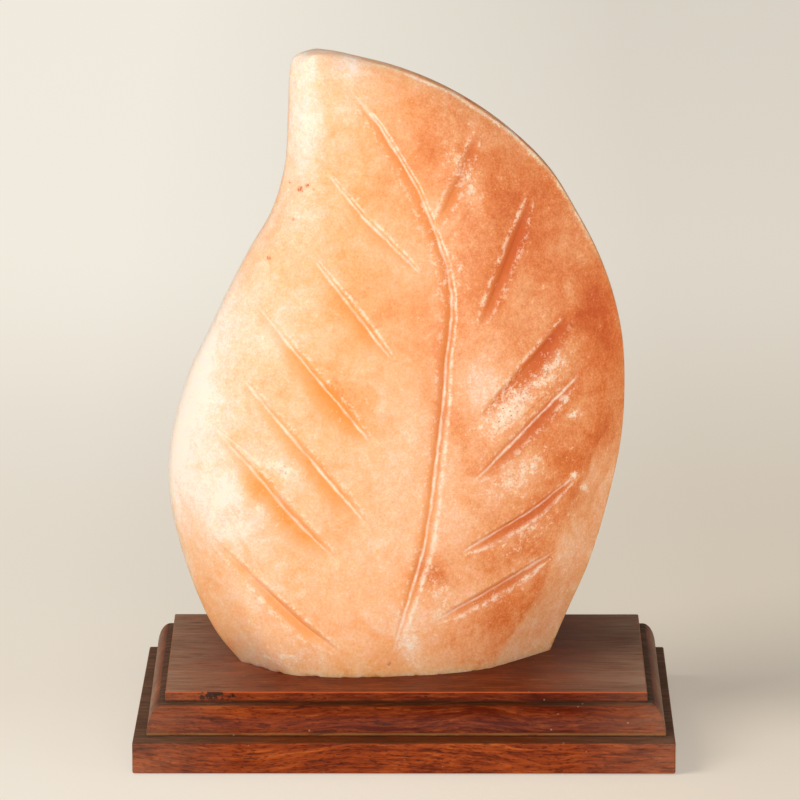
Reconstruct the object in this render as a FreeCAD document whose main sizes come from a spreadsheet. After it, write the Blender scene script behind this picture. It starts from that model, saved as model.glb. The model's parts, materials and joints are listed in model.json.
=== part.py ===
# Salt crystal lamp: a carved salt leaf on a two-board wooden base, with a small bulb in a
# lampholder that clips into the base from underneath.
# Millimetres. The origin is the centre of the footprint, on the surface that the lamp stands on.
# +Z is up and the front of the lamp faces -Y.
import FreeCAD, Part
import math
import os
import re

import Sketcher

V = FreeCAD.Vector

SIZES = {
    # plain lower board; its left end is a little out of square
    "plinth_length": 228.0,
    "plinth_depth": 152.0,
    "plinth_height": 13.5,
    "plinth_skew": 2.0,
    "plinth_arris": 0.8,
    # moulded upper board: a square edge over a quarter of an ellipse
    "board_length": 218.6,
    "board_depth": 140.6,
    "board_height": 17.4,
    "board_right": 1.0,
    "board_back": 4.0,
    "moulding_reach": 6.8,
    "moulding_height": 12.8,
    "moulding_step": 1.0,
    "board_arris": 0.6,
    # upright axis of the bulb hole, and the turn of the leaf about it, in degrees
    "axis_right": -3.0,
    "axis_back": 1.0,
    "leaf_turn": 5.0,
    "hole_radius": 24.0,
    "cavity_radius": 23.0,
    "cavity_depth": 88.0,
    # pads, let into the underside
    "pad_radius": 8.0,
    "pad_thickness": 1.6,
    "pad_proud": 0.4,
    "pad_right": 100.0,
    "pad_back": 62.0,
    "pad_gap": 0.3,
    # cord groove in the underside and the grommet in its outer end
    "groove_width": 9.0,
    "groove_height": 9.0,
    "grommet_length": 10.0,
    "grommet_bore": 3.3,
    # screws that join the two boards
    "board_screw_right": 84.0,
    "board_screw_back": 50.0,
    "board_screw_radius": 2.0,
    "board_screw_length": 22.0,
    "board_screw_sink": 5.0,
    # screws that hold the salt, and their plugs, placed in the leaf's own directions
    "salt_screw_radius": 2.25,
    "salt_screw_length": 60.0,
    "salt_screw_sink": 5.5,
    "plug_radius": 4.0,
    "plug_length": 38.0,
    "plug_left": -48.0,
    "plug_right": 46.0,
    "plug_spread": 14.0,
    # every pan head: its radius is this many shank radii
    "head_ratio": 1.9,
    "head_height": 2.6,
    "screw_tip": 4.0,
    "recess_arm": 1.9,
    "recess_width": 1.0,
    "recess_depth": 1.2,
    "hole_clearance": 0.3,
    # lampholder, heights counted from its own bottom
    "holder_base": 3.0,
    "cap_radius": 13.5,
    "cap_height": 18.0,
    "cap_floor": 2.5,
    "cap_bore": 10.6,
    "cap_chamfer": 3.0,
    "neck_radius": 12.4,
    "neck_height": 6.0,
    "skirt_radius": 14.0,
    "skirt_height": 32.0,
    "skirt_lip": 3.0,
    "mouth_radius": 9.0,
    "gland_radius": 4.5,
    "gland_bore": 3.3,
    "gland_flange": 6.5,
    "gland_sheet": 1.5,
    "carrier_radius": 12.3,
    "carrier_height": 6.0,
    "block_radius": 9.0,
    "block_height": 9.0,
    "contact_sheet": 0.5,
    "contact_width": 4.0,
    "contact_rise": 1.4,
    "strip_end": 6.8,
    "terminal_offset": 5.2,
    "terminal_radius": 1.25,
    "terminal_length": 17.3,
    "shell_bore": 7.02,
    "shell_wall": 0.5,
    "shell_height": 16.5,
    "shell_flange": 9.5,
    # collar and spring arms that grip the wall of the hole
    "collar_wall": 0.9,
    "collar_bottom": 4.0,
    "collar_top": 12.0,
    "rivet_height": 8.0,
    "rivet_radius": 1.2,
    "rivet_head": 2.3,
    "rivet_reach": 2.7,
    "rivet_sheet": 0.8,
    "rivet_gap": 0.05,
    "clip_gap": 1.5,
    "clip_sheet": 0.6,
    "clip_width": 8.0,
    "clip_foot": 4.5,
    "clip_bend": 11.0,
    "clip_bulge": 8.2,
    "clip_bulge_height": 24.0,
    "clip_tip": 5.0,
    "clip_tip_height": 35.0,
    "clip_hole": 1.35,
    # bulb, heights counted from the tip of its contact
    "bulb_gap": 0.35,
    "tip_radius": 2.0,
    "tip_height": 0.9,
    "glass_ring_height": 2.7,
    "thread_crest": 6.95,
    "thread_root": 6.5,
    "thread_bore": 6.1,
    "thread_pitch": 2.82,
    "thread_turns": 5.0,
    "thread_start": 0.6,
    "rim_radius": 7.3,
    "rim_height": 20.5,
    "glass_radius": 12.5,
    "glass_wall": 0.8,
    "glass_neck": 6.05,
    "neck_bottom": 14.0,
    "shoulder_bottom": 21.0,
    "shoulder_top": 30.0,
    "dome_height": 45.0,
    "stem_bottom": 14.5,
    "stem_top": 27.0,
    "stem_radius": 1.9,
    "filament_height": 36.0,
    "filament_radius": 5.0,
    "support_angle": 65.0,
    "wire_radius": 0.3,
}

# The salt leaf, one row per level section: height, left edge, right edge and half thickness,
# in the leaf's own directions with the bulb axis at zero.
LEAF_SECTIONS = (
    (0, -68.5, 65.5, 36.0),
    (12, -77.4, 71.0, 37.0),
    (30, -86.0, 79.0, 38.5),
    (52, -93.2, 86.6, 39.5),
    (83, -97.6, 94.0, 40.0),
    (115, -92.6, 96.8, 38.0),
    (144, -79.9, 94.6, 34.5),
    (170, -67.2, 87.2, 30.5),
    (195, -53.0, 74.6, 26.0),
    (218, -47.2, 58.5, 21.5),
    (236, -46.0, 38.5, 17.0),
    (250, -45.2, 13.5, 12.5),
    (258, -44.6, -8.4, 9.5),
    (262.5, -41.2, -24.5, 7.5),
    (264, -38.0, -29.0, 6.5),
)
LEAF_CREST = 0.46          # share of the width at which a section is thickest
LEAF_EDGE = 5.0            # half width of the narrow band along the right edge
LEFT_FULLNESS = 2.4        # superellipse exponents: the left half is fuller than the right
RIGHT_FULLNESS = 1.7
SECTION_ANGLES = (15, 35, 55, 75)

# Carved lines, each from its outer end to its inner end, as (across, up) in the leaf's directions.
MIDRIB = (
    (-19, 247), (-8, 233), (6, 209), (15, 186), (20, 160),
    (17.5, 138), (15, 110), (11, 77), (2, 37), (-4, 14),
)
VEINS = (
    ((-42, 224), (3, 175)),
    ((-38, 180), (-6, 138)),
    ((-63, 161), (-16, 104)),
    ((-70, 131), (-18, 69)),
    ((-82, 110), (-31, 57)),
    ((-84, 63), (-30, 8)),
    ((32, 228), (14, 192)),
    ((56, 200), (32, 149)),
    ((73, 162), (32, 111)),
    ((77, 126), (27, 83)),
    ((74, 81), (22, 52)),
    ((66, 48), (11, 24)),
)
GROOVE_WIDTH = 3.4
GROOVE_DEPTH = 1.8
VEIN_STEPS = 6

doc = FreeCAD.newDocument("salt_lamp")
sheet = doc.addObject("Spreadsheet::Sheet", "Sizes")
for row, (alias, value) in enumerate(SIZES.items(), start=1):
    sheet.set(f"A{row}", alias)
    sheet.set(f"B{row}", str(value))
    sheet.setAlias(f"B{row}", alias)
doc.recompute()
nodes = []


# ---------------------------------------------------------------- expressions and placements

def in_sheet(text):
    """Turn an expression written with plain size names into one that reads the sheet."""
    return re.sub(r"[a-z_]+", lambda word: "Sizes." + word[0] if word[0] in SIZES else word[0], text)


def number(text):
    """Value of an expression of size names."""
    return float(sheet.evalExpression(in_sheet(text)))


def bind(thing, **texts):
    """Bind properties of a document object to expressions of size names."""
    for name, text in texts.items():
        thing.setExpression(name, in_sheet(text))


def place(thing, x="0", y="0", z="0", rotation=FreeCAD.Rotation()):
    """Turn an object about its own origin and bind its position to the sheet."""
    thing.Placement = FreeCAD.Placement(V(), rotation)
    for name, text in (("x", x), ("y", y), ("z", z)):
        thing.setExpression("Placement.Base." + name, in_sheet(text))
    return thing


def node(thing, name):
    """Keep an object as one of the lamp's pieces."""
    thing.Label = name
    nodes.append(thing)
    return thing


# ---------------------------------------------------------------- sketched bodies

def pin(sketch, geometry, point, x, y):
    """Tie a point of a sketch to the sheet; a coordinate of zero ties it to the axis."""
    for kind, axis, text in (("DistanceX", -2, x), ("DistanceY", -1, y)):
        value = number(text)
        if abs(value) < 1e-9:
            sketch.addConstraint(Sketcher.Constraint("PointOnObject", geometry, point, axis))
        else:
            index = sketch.addConstraint(Sketcher.Constraint(kind, -1, 1, geometry, point, value))
            sketch.setExpression(f"Constraints[{index}]", in_sheet(text))


def polygon_sketch(body, plane, corners):
    """Closed outline on one of the body's own origin planes, every corner tied to the sheet."""
    sketch = body.newObject("Sketcher::SketchObject", body.Name + "_outline")
    support = next(item for item in body.Origin.OriginFeatures if item.Role == plane)
    sketch.AttachmentSupport = [(support, "")]
    sketch.MapMode = "FlatFace"
    points = [V(number(x), number(y), 0) for x, y in corners]
    count = len(points)
    for index in range(count):
        sketch.addGeometry(Part.LineSegment(points[index], points[(index + 1) % count]))
    for index in range(count):
        sketch.addConstraint(Sketcher.Constraint("Coincident", index, 2, (index + 1) % count, 1))
    for index, (x, y) in enumerate(corners):
        pin(sketch, index, 1, x, y)
    return sketch


def turned(name, profile, x="0", y="0", z="0", rotation=FreeCAD.Rotation()):
    """Body of revolution: the profile is (radius, height) corners, turned about its own Z."""
    body = doc.addObject("PartDesign::Body", name)
    sketch = polygon_sketch(body, "XZ_Plane", profile)
    turn = body.newObject("PartDesign::Revolution", name + "_turn")
    turn.Profile = sketch
    turn.ReferenceAxis = (sketch, ["V_Axis"])
    turn.Angle = 360
    return place(body, x, y, z, rotation)


def plate(name, plane, outline, thickness, x="0", y="0", z="0", symmetric=False):
    """Body of constant section: an outline on an origin plane, padded square to it."""
    body = doc.addObject("PartDesign::Body", name)
    sketch = polygon_sketch(body, plane, outline)
    pad = body.newObject("PartDesign::Pad", name + "_pad")
    pad.Profile = sketch
    pad.SideType = "Symmetric" if symmetric else "One side"
    bind(pad, Length=thickness)
    return place(body, x, y, z)


# ---------------------------------------------------------------- primitives and booleans

ALONG_X = FreeCAD.Rotation(V(0, 0, 1), V(1, 0, 0))
ALONG_Y = FreeCAD.Rotation(V(0, 0, 1), V(0, 1, 0))
UPRIGHT = FreeCAD.Rotation()


def cylinder(name, radius, height, x="0", y="0", z="0", rotation=UPRIGHT):
    thing = doc.addObject("Part::Cylinder", name)
    bind(thing, Radius=radius, Height=height)
    return place(thing, x, y, z, rotation)


def cone(name, bottom, top, height, x="0", y="0", z="0"):
    thing = doc.addObject("Part::Cone", name)
    bind(thing, Radius1=bottom, Radius2=top, Height=height)
    return place(thing, x, y, z)


def sphere(name, radius, x="0", y="0", z="0"):
    thing = doc.addObject("Part::Sphere", name)
    bind(thing, Radius=radius)
    return place(thing, x, y, z)


def box(name, length, width, height, x="0", y="0", z="0"):
    """Box with its low corner at x, y, z."""
    thing = doc.addObject("Part::Box", name)
    bind(thing, Length=length, Width=width, Height=height)
    return place(thing, x, y, z)


def fixed_shape(name, shape):
    """Object for a shape that is worked out from the sheet in this file."""
    thing = doc.addObject("Part::Feature", name)
    thing.Shape = shape
    return thing


def fuse(name, parts):
    thing = doc.addObject("Part::MultiFuse", name)
    thing.Shapes = parts
    return thing


def group(name, parts):
    thing = doc.addObject("Part::Compound", name)
    thing.Links = parts
    return thing


def cut(name, base, tool):
    thing = doc.addObject("Part::Cut", name)
    thing.Base = base
    thing.Tool = tool
    return thing


# ---------------------------------------------------------------- heights and fastener places

PLINTH_BOTTOM = "pad_proud"
PLINTH_TOP = "(pad_proud + plinth_height)"
BASE_TOP = "(pad_proud + plinth_height + board_height)"


def from_leaf(across, back):
    """Row coordinates of a point given in the leaf's own directions, as two expressions."""
    turn = "(leaf_turn * 1deg)"
    x = f"axis_right + ({across}) * cos({turn}) - ({back}) * sin({turn})"
    y = f"axis_back + ({across}) * sin({turn}) + ({back}) * cos({turn})"
    return x, y


four_corners = [(right, back) for right in (-1, 1) for back in (-1, 1)]
pad_places = [(f"{right} * pad_right", f"{back} * pad_back") for right, back in four_corners]
board_screw_places = [
    (f"{right} * board_screw_right", f"{back} * board_screw_back") for right, back in four_corners
]
plug_places = [
    from_leaf("plug_left", "plug_spread"),
    from_leaf("plug_left", "-plug_spread"),
    from_leaf("plug_right", "0"),
]


def pan_screw(name, radius, length, x, y, z):
    """Pan-head screw pointing up, its head's outer face at z, with a cross recess."""
    head = f"{radius} * head_ratio"
    body = turned(name, [
        ("0", "0"),
        (head, "0"),
        (head, "head_height"),
        (radius, "head_height"),
        (radius, f"{length} - screw_tip"),
        ("0", length),
    ], x, y, z)
    arm, half = f"{radius} * recess_arm / 2", "recess_width / 2"
    cross = polygon_sketch(body, "XY_Plane", [
        (arm, f"-{half}"), (arm, half), (half, half), (half, arm), (f"-{half}", arm), (f"-{half}", half),
        (f"-{arm}", half), (f"-{arm}", f"-{half}"), (f"-{half}", f"-{half}"), (f"-{half}", f"-{arm}"),
        (half, f"-{arm}"), (half, f"-{half}"),
    ])
    recess = body.newObject("PartDesign::Pocket", name + "_recess")
    recess.Profile = cross
    recess.Reversed = True
    bind(recess, Length="recess_depth")
    return body


# ---------------------------------------------------------------- the two boards

def base_holes(board, bottom, height):
    """The bulb hole and the salt screws' clearance holes through one board."""
    tools = [cylinder(board + "_bulb_hole", "hole_radius", height, "axis_right", "axis_back", bottom)]
    for index, (x, y) in enumerate(plug_places):
        tools.append(cylinder(f"{board}_salt_hole_{index}", "salt_screw_radius + hole_clearance",
                              height, x, y, bottom))
    return tools


def groove_form(name, width, length, start):
    """Round-topped bar along Y: the form of the cord groove and of the grommet that fills its end."""
    straight = f"groove_height - {width} / 2"
    low = box(name + "_low", width, length, straight, f"axis_right - {width} / 2", start, PLINTH_BOTTOM)
    arch = cylinder(name + "_arch", f"{width} / 2", length, "axis_right", start,
                    f"{PLINTH_BOTTOM} + {straight}", ALONG_Y)
    return fuse(name, [low, arch])


def make_plinth_board():
    blank = plate("plinth_blank", "XY_Plane", [
        ("-plinth_length / 2", "-plinth_depth / 2"),
        ("plinth_length / 2", "-plinth_depth / 2"),
        ("plinth_length / 2", "plinth_depth / 2"),
        ("-plinth_length / 2 + plinth_skew", "plinth_depth / 2"),
    ], "plinth_height", z=PLINTH_BOTTOM)
    doc.recompute()
    square = blank.Tip
    arris = blank.newObject("PartDesign::Fillet", "plinth_arris")
    arris.Base = (square, [f"Edge{index + 1}" for index in range(len(square.Shape.Edges))])
    bind(arris, Radius="plinth_arris")
    tools = base_holes("plinth", PLINTH_BOTTOM, "plinth_height")
    for index, (x, y) in enumerate(pad_places):
        tools.append(cylinder(f"pad_recess_{index}", "pad_radius + pad_gap",
                              "pad_thickness - pad_proud", x, y, PLINTH_BOTTOM))
    for index, (x, y) in enumerate(board_screw_places):
        tools.append(cylinder(f"board_bore_{index}", "board_screw_radius + hole_clearance",
                              "plinth_height", x, y, PLINTH_BOTTOM))
        tools.append(cylinder(f"board_sink_{index}", "board_screw_radius * head_ratio + hole_clearance",
                              "board_screw_sink", x, y, PLINTH_BOTTOM))
    for index, (x, y) in enumerate(plug_places):
        tools.append(cylinder(f"salt_sink_{index}", "salt_screw_radius * head_ratio + hole_clearance",
                              "salt_screw_sink", x, y, PLINTH_BOTTOM))
    tools.append(groove_form("cord_groove", "groove_width", "plinth_depth / 2 - axis_back", "axis_back"))
    node(cut("plinth_board", blank, fuse("plinth_tools", tools)), "plinth_board")


def moulded_section(width):
    """Edges of the upper board's section: flat bottom, an ovolo and a square edge at each side."""
    half = width / 2
    ledge = half - number("moulding_reach")
    edge = ledge - number("moulding_step")
    rise = number("moulding_height")
    top = number("board_height")
    sides = []
    for sign in (-1, 1):
        middle = V(sign * ledge, 0, 0)
        oval = Part.Ellipse(middle + V(0, 0, rise), middle + V(sign * (half - ledge), 0, 0), middle)
        sides.append(Part.ArcOfEllipse(oval, 0, math.pi / 2).toShape())
        sides.append(Part.LineSegment(V(sign * ledge, 0, rise), V(sign * edge, 0, rise)).toShape())
        sides.append(Part.LineSegment(V(sign * edge, 0, rise), V(sign * edge, 0, top)).toShape())
    sides.append(Part.LineSegment(V(-edge, 0, top), V(edge, 0, top)).toShape())
    sides.append(Part.LineSegment(V(-half, 0, 0), V(half, 0, 0)).toShape())
    return Part.Face(Part.Wire(Part.__sortEdges__(sides)))


def make_upper_board():
    """Two moulded lengths crossed at right angles: their shared part is moulded on all four sides."""
    length, depth = number("board_length"), number("board_depth")
    lengthways = moulded_section(depth).extrude(V(0, length, 0))
    lengthways.rotate(V(), V(0, 0, 1), 90)
    lengthways.translate(V(length / 2, 0, 0))
    crossways = moulded_section(length).extrude(V(0, depth, 0))
    crossways.translate(V(0, -depth / 2, 0))
    square = doc.addObject("Part::Common", "board_square")
    square.Base = fixed_shape("lengthways_moulding", lengthways)
    square.Tool = fixed_shape("crossways_moulding", crossways)
    square.Refine = True
    place(square, "board_right", "board_back", PLINTH_TOP)
    doc.recompute()
    level, top = number(PLINTH_TOP + " + moulding_height"), number(BASE_TOP)
    radius = number("board_arris")
    arrises = []
    for index, edge in enumerate(square.Shape.Edges, start=1):
        low, high = edge.BoundBox.ZMin, edge.BoundBox.ZMax
        at_top = low > top - radius
        upright = high - low > radius
        at_bottom = high < level - radius
        if at_top or upright or at_bottom:
            arrises.append((index, radius, radius))
    blank = doc.addObject("Part::Fillet", "board_blank")
    blank.Base = square
    blank.Edges = arrises
    tools = base_holes("board", PLINTH_TOP, "board_height")
    for index, (x, y) in enumerate(board_screw_places):
        reach = "board_screw_length + board_screw_sink - head_height - plinth_height"
        tools.append(cylinder(f"board_pilot_{index}", "board_screw_radius", reach, x, y, PLINTH_TOP))
    node(cut("upper_board", blank, fuse("board_tools", tools)), "upper_board")


def make_base_fittings():
    screws = []
    for index, (x, y) in enumerate(board_screw_places):
        head = f"{PLINTH_BOTTOM} + board_screw_sink - head_height"
        screws.append(pan_screw(f"board_screw_{index}", "board_screw_radius", "board_screw_length", x, y, head))
    node(group("board_screws", screws), "board_screws")

    pads = []
    for index, (x, y) in enumerate(pad_places):
        pads.append(cylinder(f"foot_pad_{index}", "pad_radius", "pad_thickness", x, y))
    node(group("foot_pads", pads), "foot_pads")

    start = "plinth_depth / 2 - grommet_length"
    solid = groove_form("grommet_blank", "groove_width", "grommet_length", start)
    bore = cylinder("grommet_hole", "grommet_bore", "grommet_length", "axis_right", start,
                    f"{PLINTH_BOTTOM} + groove_height / 2", ALONG_Y)
    node(cut("cord_grommet", solid, bore), "cord_grommet")


# ---------------------------------------------------------------- the salt leaf

def leaf_section(height, left, right, thickness):
    """Level section of the leaf: a superellipse with a fuller left half and a narrow flat right edge."""
    crest = left + LEAF_CREST * (right - left)
    edge = min(LEAF_EDGE, 0.7 * thickness)
    side = [(right, edge)]
    for degrees in SECTION_ANGLES:
        angle = math.radians(degrees)
        side.append((crest + (right - crest) * math.cos(angle) ** (2 / RIGHT_FULLNESS),
                     edge + (thickness - edge) * math.sin(angle) ** (2 / RIGHT_FULLNESS)))
    side.append((crest, thickness))
    for degrees in reversed(SECTION_ANGLES):
        angle = math.radians(degrees)
        side.append((crest - (crest - left) * math.cos(angle) ** (2 / LEFT_FULLNESS),
                     thickness * math.sin(angle) ** (2 / LEFT_FULLNESS)))
    points = [V(across, -front, height) for across, front in side]
    points.append(V(left, 0, height))
    points += [V(across, back, height) for across, back in reversed(side)]
    curve = Part.BSplineCurve()
    curve.interpolate(Points=points, Parameters=[float(index) for index in range(len(points))])
    return Part.Wire([curve.toShape(), Part.LineSegment(points[-1], points[0]).toShape()])


def carved_groove(leaf, route, taper):
    """V-groove that follows a route on the front face; with taper it runs out at both ends."""
    lift = 2.0
    reach = number("plinth_depth")
    surface = []
    for across, up in route:
        inside = leaf.common(Part.makeLine(V(across, -reach, up), V(across, 0, up)))
        surface.append(V(across, inside.BoundBox.YMin, up))
    sections = []
    for index, point in enumerate(surface):
        before, after = surface[max(index - 1, 0)], surface[min(index + 1, len(surface) - 1)]
        along = (after - before).normalize()
        outward = V(0, -1, 0)
        across = along.cross(outward).normalize()
        share = index / (len(surface) - 1)
        size = max(math.sin(math.pi * share), 0.12) if taper else 1.0
        depth = GROOVE_DEPTH * size
        half = GROOVE_WIDTH / 2 * size * (1 + lift / depth)
        above = point + outward * lift
        corners = [above + across * half, above - across * half, point - outward * depth]
        sections.append(Part.makePolygon(corners + corners[:1]))
    return Part.makeLoft(sections, True, True)


def make_salt_leaf():
    leaf = Part.makeLoft([leaf_section(*row) for row in LEAF_SECTIONS], True, False)
    grooves = [carved_groove(leaf, MIDRIB, False)]
    shares = [step / VEIN_STEPS for step in range(VEIN_STEPS + 1)]
    for outer, inner in VEINS:
        route = [[start + (end - start) * share for start, end in zip(outer, inner)] for share in shares]
        grooves.append(carved_groove(leaf, route, True))
    for front in list(grooves):
        grooves.append(front.mirror(V(), V(0, 1, 0)))
    blank = fixed_shape("leaf_blank", leaf.cut(grooves))
    place(blank, "axis_right", "axis_back", BASE_TOP, FreeCAD.Rotation(V(0, 0, 1), number("leaf_turn")))
    tools = [cylinder("bulb_cavity", "cavity_radius", "cavity_depth", "axis_right", "axis_back", BASE_TOP)]
    for index, (x, y) in enumerate(plug_places):
        tools.append(cylinder(f"plug_hole_{index}", "plug_radius", "plug_length", x, y, BASE_TOP))
    node(cut("salt_leaf", blank, group("leaf_tools", tools)), "salt_leaf")


def make_salt_fasteners():
    head = f"{PLINTH_BOTTOM} + salt_screw_sink - head_height"
    screws = []
    plugs = []
    for index, (x, y) in enumerate(plug_places):
        screws.append(pan_screw(f"salt_screw_{index}", "salt_screw_radius", "salt_screw_length", x, y, head))
        plugs.append(turned(f"salt_plug_{index}", [
            ("salt_screw_radius", "0"),
            ("plug_radius", "0"),
            ("plug_radius", "plug_length"),
            ("salt_screw_radius", "plug_length"),
        ], x, y, BASE_TOP))
    node(group("salt_screws", screws), "salt_screws")
    node(group("salt_plugs", plugs), "salt_plugs")


# ---------------------------------------------------------------- lampholder

HOLDER = ("axis_right", "axis_back", "holder_base")
CARRIER_TOP = "(cap_height + neck_height + carrier_height)"


def make_holder_housing():
    node(turned("holder_cap", [
        ("gland_radius", "0"),
        ("cap_radius - cap_chamfer", "0"),
        ("cap_radius", "cap_chamfer"),
        ("cap_radius", "cap_height"),
        ("neck_radius", "cap_height"),
        ("neck_radius", "cap_height + neck_height"),
        ("cap_bore", "cap_height + neck_height"),
        ("cap_bore", "cap_floor"),
        ("gland_radius", "cap_floor"),
    ], *HOLDER), "holder_cap")
    top = "cap_height + skirt_height"
    node(turned("holder_skirt", [
        ("neck_radius", "cap_height"),
        ("skirt_radius", "cap_height"),
        ("skirt_radius", top + " - skirt_lip / 2"),
        ("skirt_radius - skirt_lip / 2", top),
        ("mouth_radius", top),
        ("mouth_radius", top + " - skirt_lip"),
        ("neck_radius", top + " - skirt_lip"),
    ], *HOLDER), "holder_skirt")
    node(turned("cord_gland", [
        ("gland_bore", "0"),
        ("gland_radius", "0"),
        ("gland_radius", "cap_floor"),
        ("gland_flange", "cap_floor"),
        ("gland_flange", "cap_floor + gland_sheet"),
        ("gland_bore", "cap_floor + gland_sheet"),
    ], *HOLDER), "cord_gland")


def make_contacts():
    x, y, z = HOLDER
    neck_top = "cap_height + neck_height"
    offsets = [("left", "-terminal_offset"), ("right", "terminal_offset")]
    blank = turned("carrier_blank", [
        ("0", f"{neck_top} - block_height"),
        ("block_radius", f"{neck_top} - block_height"),
        ("block_radius", neck_top),
        ("carrier_radius", neck_top),
        ("carrier_radius", CARRIER_TOP),
        ("0", CARRIER_TOP),
    ], *HOLDER)
    bores = [
        cylinder(f"terminal_bore_{side}", "terminal_radius", "terminal_length + block_height", f"{x} + {offset}", y,
                 f"{z} + {neck_top} - block_height")
        for side, offset in offsets
    ]
    node(cut("contact_carrier", blank, group("carrier_bores", bores)), "contact_carrier")

    screws = []
    for side, offset in offsets:
        screws.append(pan_screw(f"terminal_screw_{side}", "terminal_radius", "terminal_length + head_height",
                                f"{x} + {offset}", y, f"{z} + {neck_top} - block_height - head_height"))
    node(group("terminal_screws", screws), "terminal_screws")

    level = f"{z} + {CARRIER_TOP}"
    ring = turned("side_ring", [
        ("shell_bore + shell_wall", "0"),
        ("shell_flange", "0"),
        ("shell_flange", "contact_sheet"),
        ("shell_bore + shell_wall", "contact_sheet"),
    ], x, y, level)
    tab = box("side_tab", "shell_bore + shell_wall - terminal_offset / 2", "contact_width", "contact_sheet",
              f"{x} + terminal_offset / 2 + 1", f"{y} - contact_width / 2", level)
    hole = cylinder("side_hole", "terminal_radius", "contact_sheet", f"{x} + terminal_offset", y, level)
    node(cut("side_contact", fuse("side_strip", [ring, tab]), hole), "side_contact")

    tongue = plate("centre_strip", "XZ_Plane", [
        ("-strip_end", "0"),
        ("-terminal_offset / 2", "0"),
        ("-terminal_offset / 6", "contact_rise"),
        ("tip_radius", "contact_rise"),
        ("tip_radius", "contact_rise + contact_sheet"),
        ("-terminal_offset / 6 - contact_sheet / 2", "contact_rise + contact_sheet"),
        ("-terminal_offset / 2 - contact_sheet / 2", "contact_sheet"),
        ("-strip_end", "contact_sheet"),
    ], "contact_width", x, y, level, symmetric=True)
    hole = cylinder("centre_hole", "terminal_radius", "contact_sheet", f"{x} - terminal_offset", y, level)
    node(cut("centre_contact", tongue, hole), "centre_contact")

    node(turned("thread_shell", [
        ("shell_bore", "contact_sheet"),
        ("shell_flange", "contact_sheet"),
        ("shell_flange", "contact_sheet + shell_wall"),
        ("shell_bore + shell_wall", "contact_sheet + shell_wall"),
        ("shell_bore + shell_wall", "shell_height"),
        ("shell_bore", "shell_height"),
    ], x, y, level), "thread_shell")


def make_clips():
    x, y, z = HOLDER
    blank = turned("collar_blank", [
        ("cap_radius", "collar_bottom"),
        ("cap_radius + collar_wall", "collar_bottom"),
        ("cap_radius + collar_wall", "collar_top"),
        ("cap_radius", "collar_top"),
    ], *HOLDER)
    height = f"{z} + rivet_height"
    through = cylinder("collar_bore", "rivet_radius", "4 * cap_radius", f"{x} - 2 * cap_radius", y, height, ALONG_X)
    node(cut("clip_collar", blank, through), "clip_collar")

    rivets = []
    for side, sign in (("left", "-"), ("right", "")):
        turn = ALONG_X if side == "right" else ALONG_X.inverted()
        shank = cylinder(f"rivet_shank_{side}", "rivet_radius", "rivet_reach",
                         f"{x} + {sign}(cap_radius + rivet_gap)", y, height, turn)
        head = cylinder(f"rivet_head_{side}", "rivet_head", "rivet_sheet",
                        f"{x} + {sign}(cap_radius + rivet_gap + rivet_reach)", y, height, turn)
        rivets.append(fuse(f"clip_rivet_{side}", [shank, head]))
        root = "cap_radius + clip_gap"
        outline = [
            (root, "clip_foot"),
            (root, "clip_bend"),
            (f"{root} + clip_bulge - clip_sheet", "clip_bulge_height"),
            (f"{root} + clip_tip - clip_sheet", "clip_tip_height"),
            (f"{root} + clip_tip", "clip_tip_height"),
            (f"{root} + clip_bulge", "clip_bulge_height"),
            (f"{root} + clip_sheet", "clip_bend"),
            (f"{root} + clip_sheet", "clip_foot"),
        ]
        outline = [(f"{sign}({across})", up) for across, up in outline]
        strip = plate(f"clip_strip_{side}", "XZ_Plane", outline, "clip_width", x, y, z, symmetric=True)
        hole = cylinder(f"clip_hole_{side}", "clip_hole", "3 * clip_gap",
                        f"{x} + {sign}cap_radius", y, height, turn)
        node(cut(f"spring_clip_{side}", strip, hole), f"spring_clip_{side}")
    node(group("clip_rivets", rivets), "clip_rivets")


# ---------------------------------------------------------------- bulb

BULB = ("axis_right", "axis_back", f"holder_base + {CARRIER_TOP} + contact_rise + contact_sheet + bulb_gap")


def make_bulb_cap():
    x, y, z = BULB
    node(turned("bulb_contact", [
        ("0", "0"),
        ("tip_radius", "0"),
        ("tip_radius * 1.4", "tip_height"),
        ("0", "tip_height"),
    ], x, y, z), "bulb_contact")
    ring_top = "tip_height + glass_ring_height"
    node(turned("bulb_insulator", [
        ("0", "tip_height"),
        ("tip_radius * 1.4", "tip_height"),
        ("thread_root", ring_top),
        ("0", ring_top),
    ], x, y, z), "bulb_insulator")
    profile = [("thread_bore", ring_top), ("thread_root", ring_top)]
    for turn in range(int(number("thread_turns"))):
        start = f"{ring_top} + thread_start + {turn} * thread_pitch"
        profile.append(("thread_root", start))
        profile.append(("thread_crest", f"{start} + thread_pitch * 0.4"))
        profile.append(("thread_crest", f"{start} + thread_pitch * 0.6"))
    profile.append(("thread_root", f"{ring_top} + thread_start + thread_turns * thread_pitch"))
    profile.append(("rim_radius", "rim_height"))
    profile.append(("thread_bore", "rim_height"))
    node(turned("bulb_cap", profile, x, y, z), "bulb_cap")


def glass_form(name, wall):
    """The bulb's outer form shrunk by a wall thickness: neck, cone, straight part and domed end."""
    x, y, z = BULB
    neck, body = f"glass_neck - {wall}", f"glass_radius - {wall}"
    return fuse(name, [
        cylinder(name + "_neck", neck, "shoulder_bottom - neck_bottom", x, y, f"{z} + neck_bottom"),
        cone(name + "_shoulder", neck, body, "shoulder_top - shoulder_bottom", x, y, f"{z} + shoulder_bottom"),
        cylinder(name + "_body", body, "dome_height - shoulder_top", x, y, f"{z} + shoulder_top"),
        sphere(name + "_dome", body, x, y, f"{z} + dome_height"),
    ])


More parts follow.
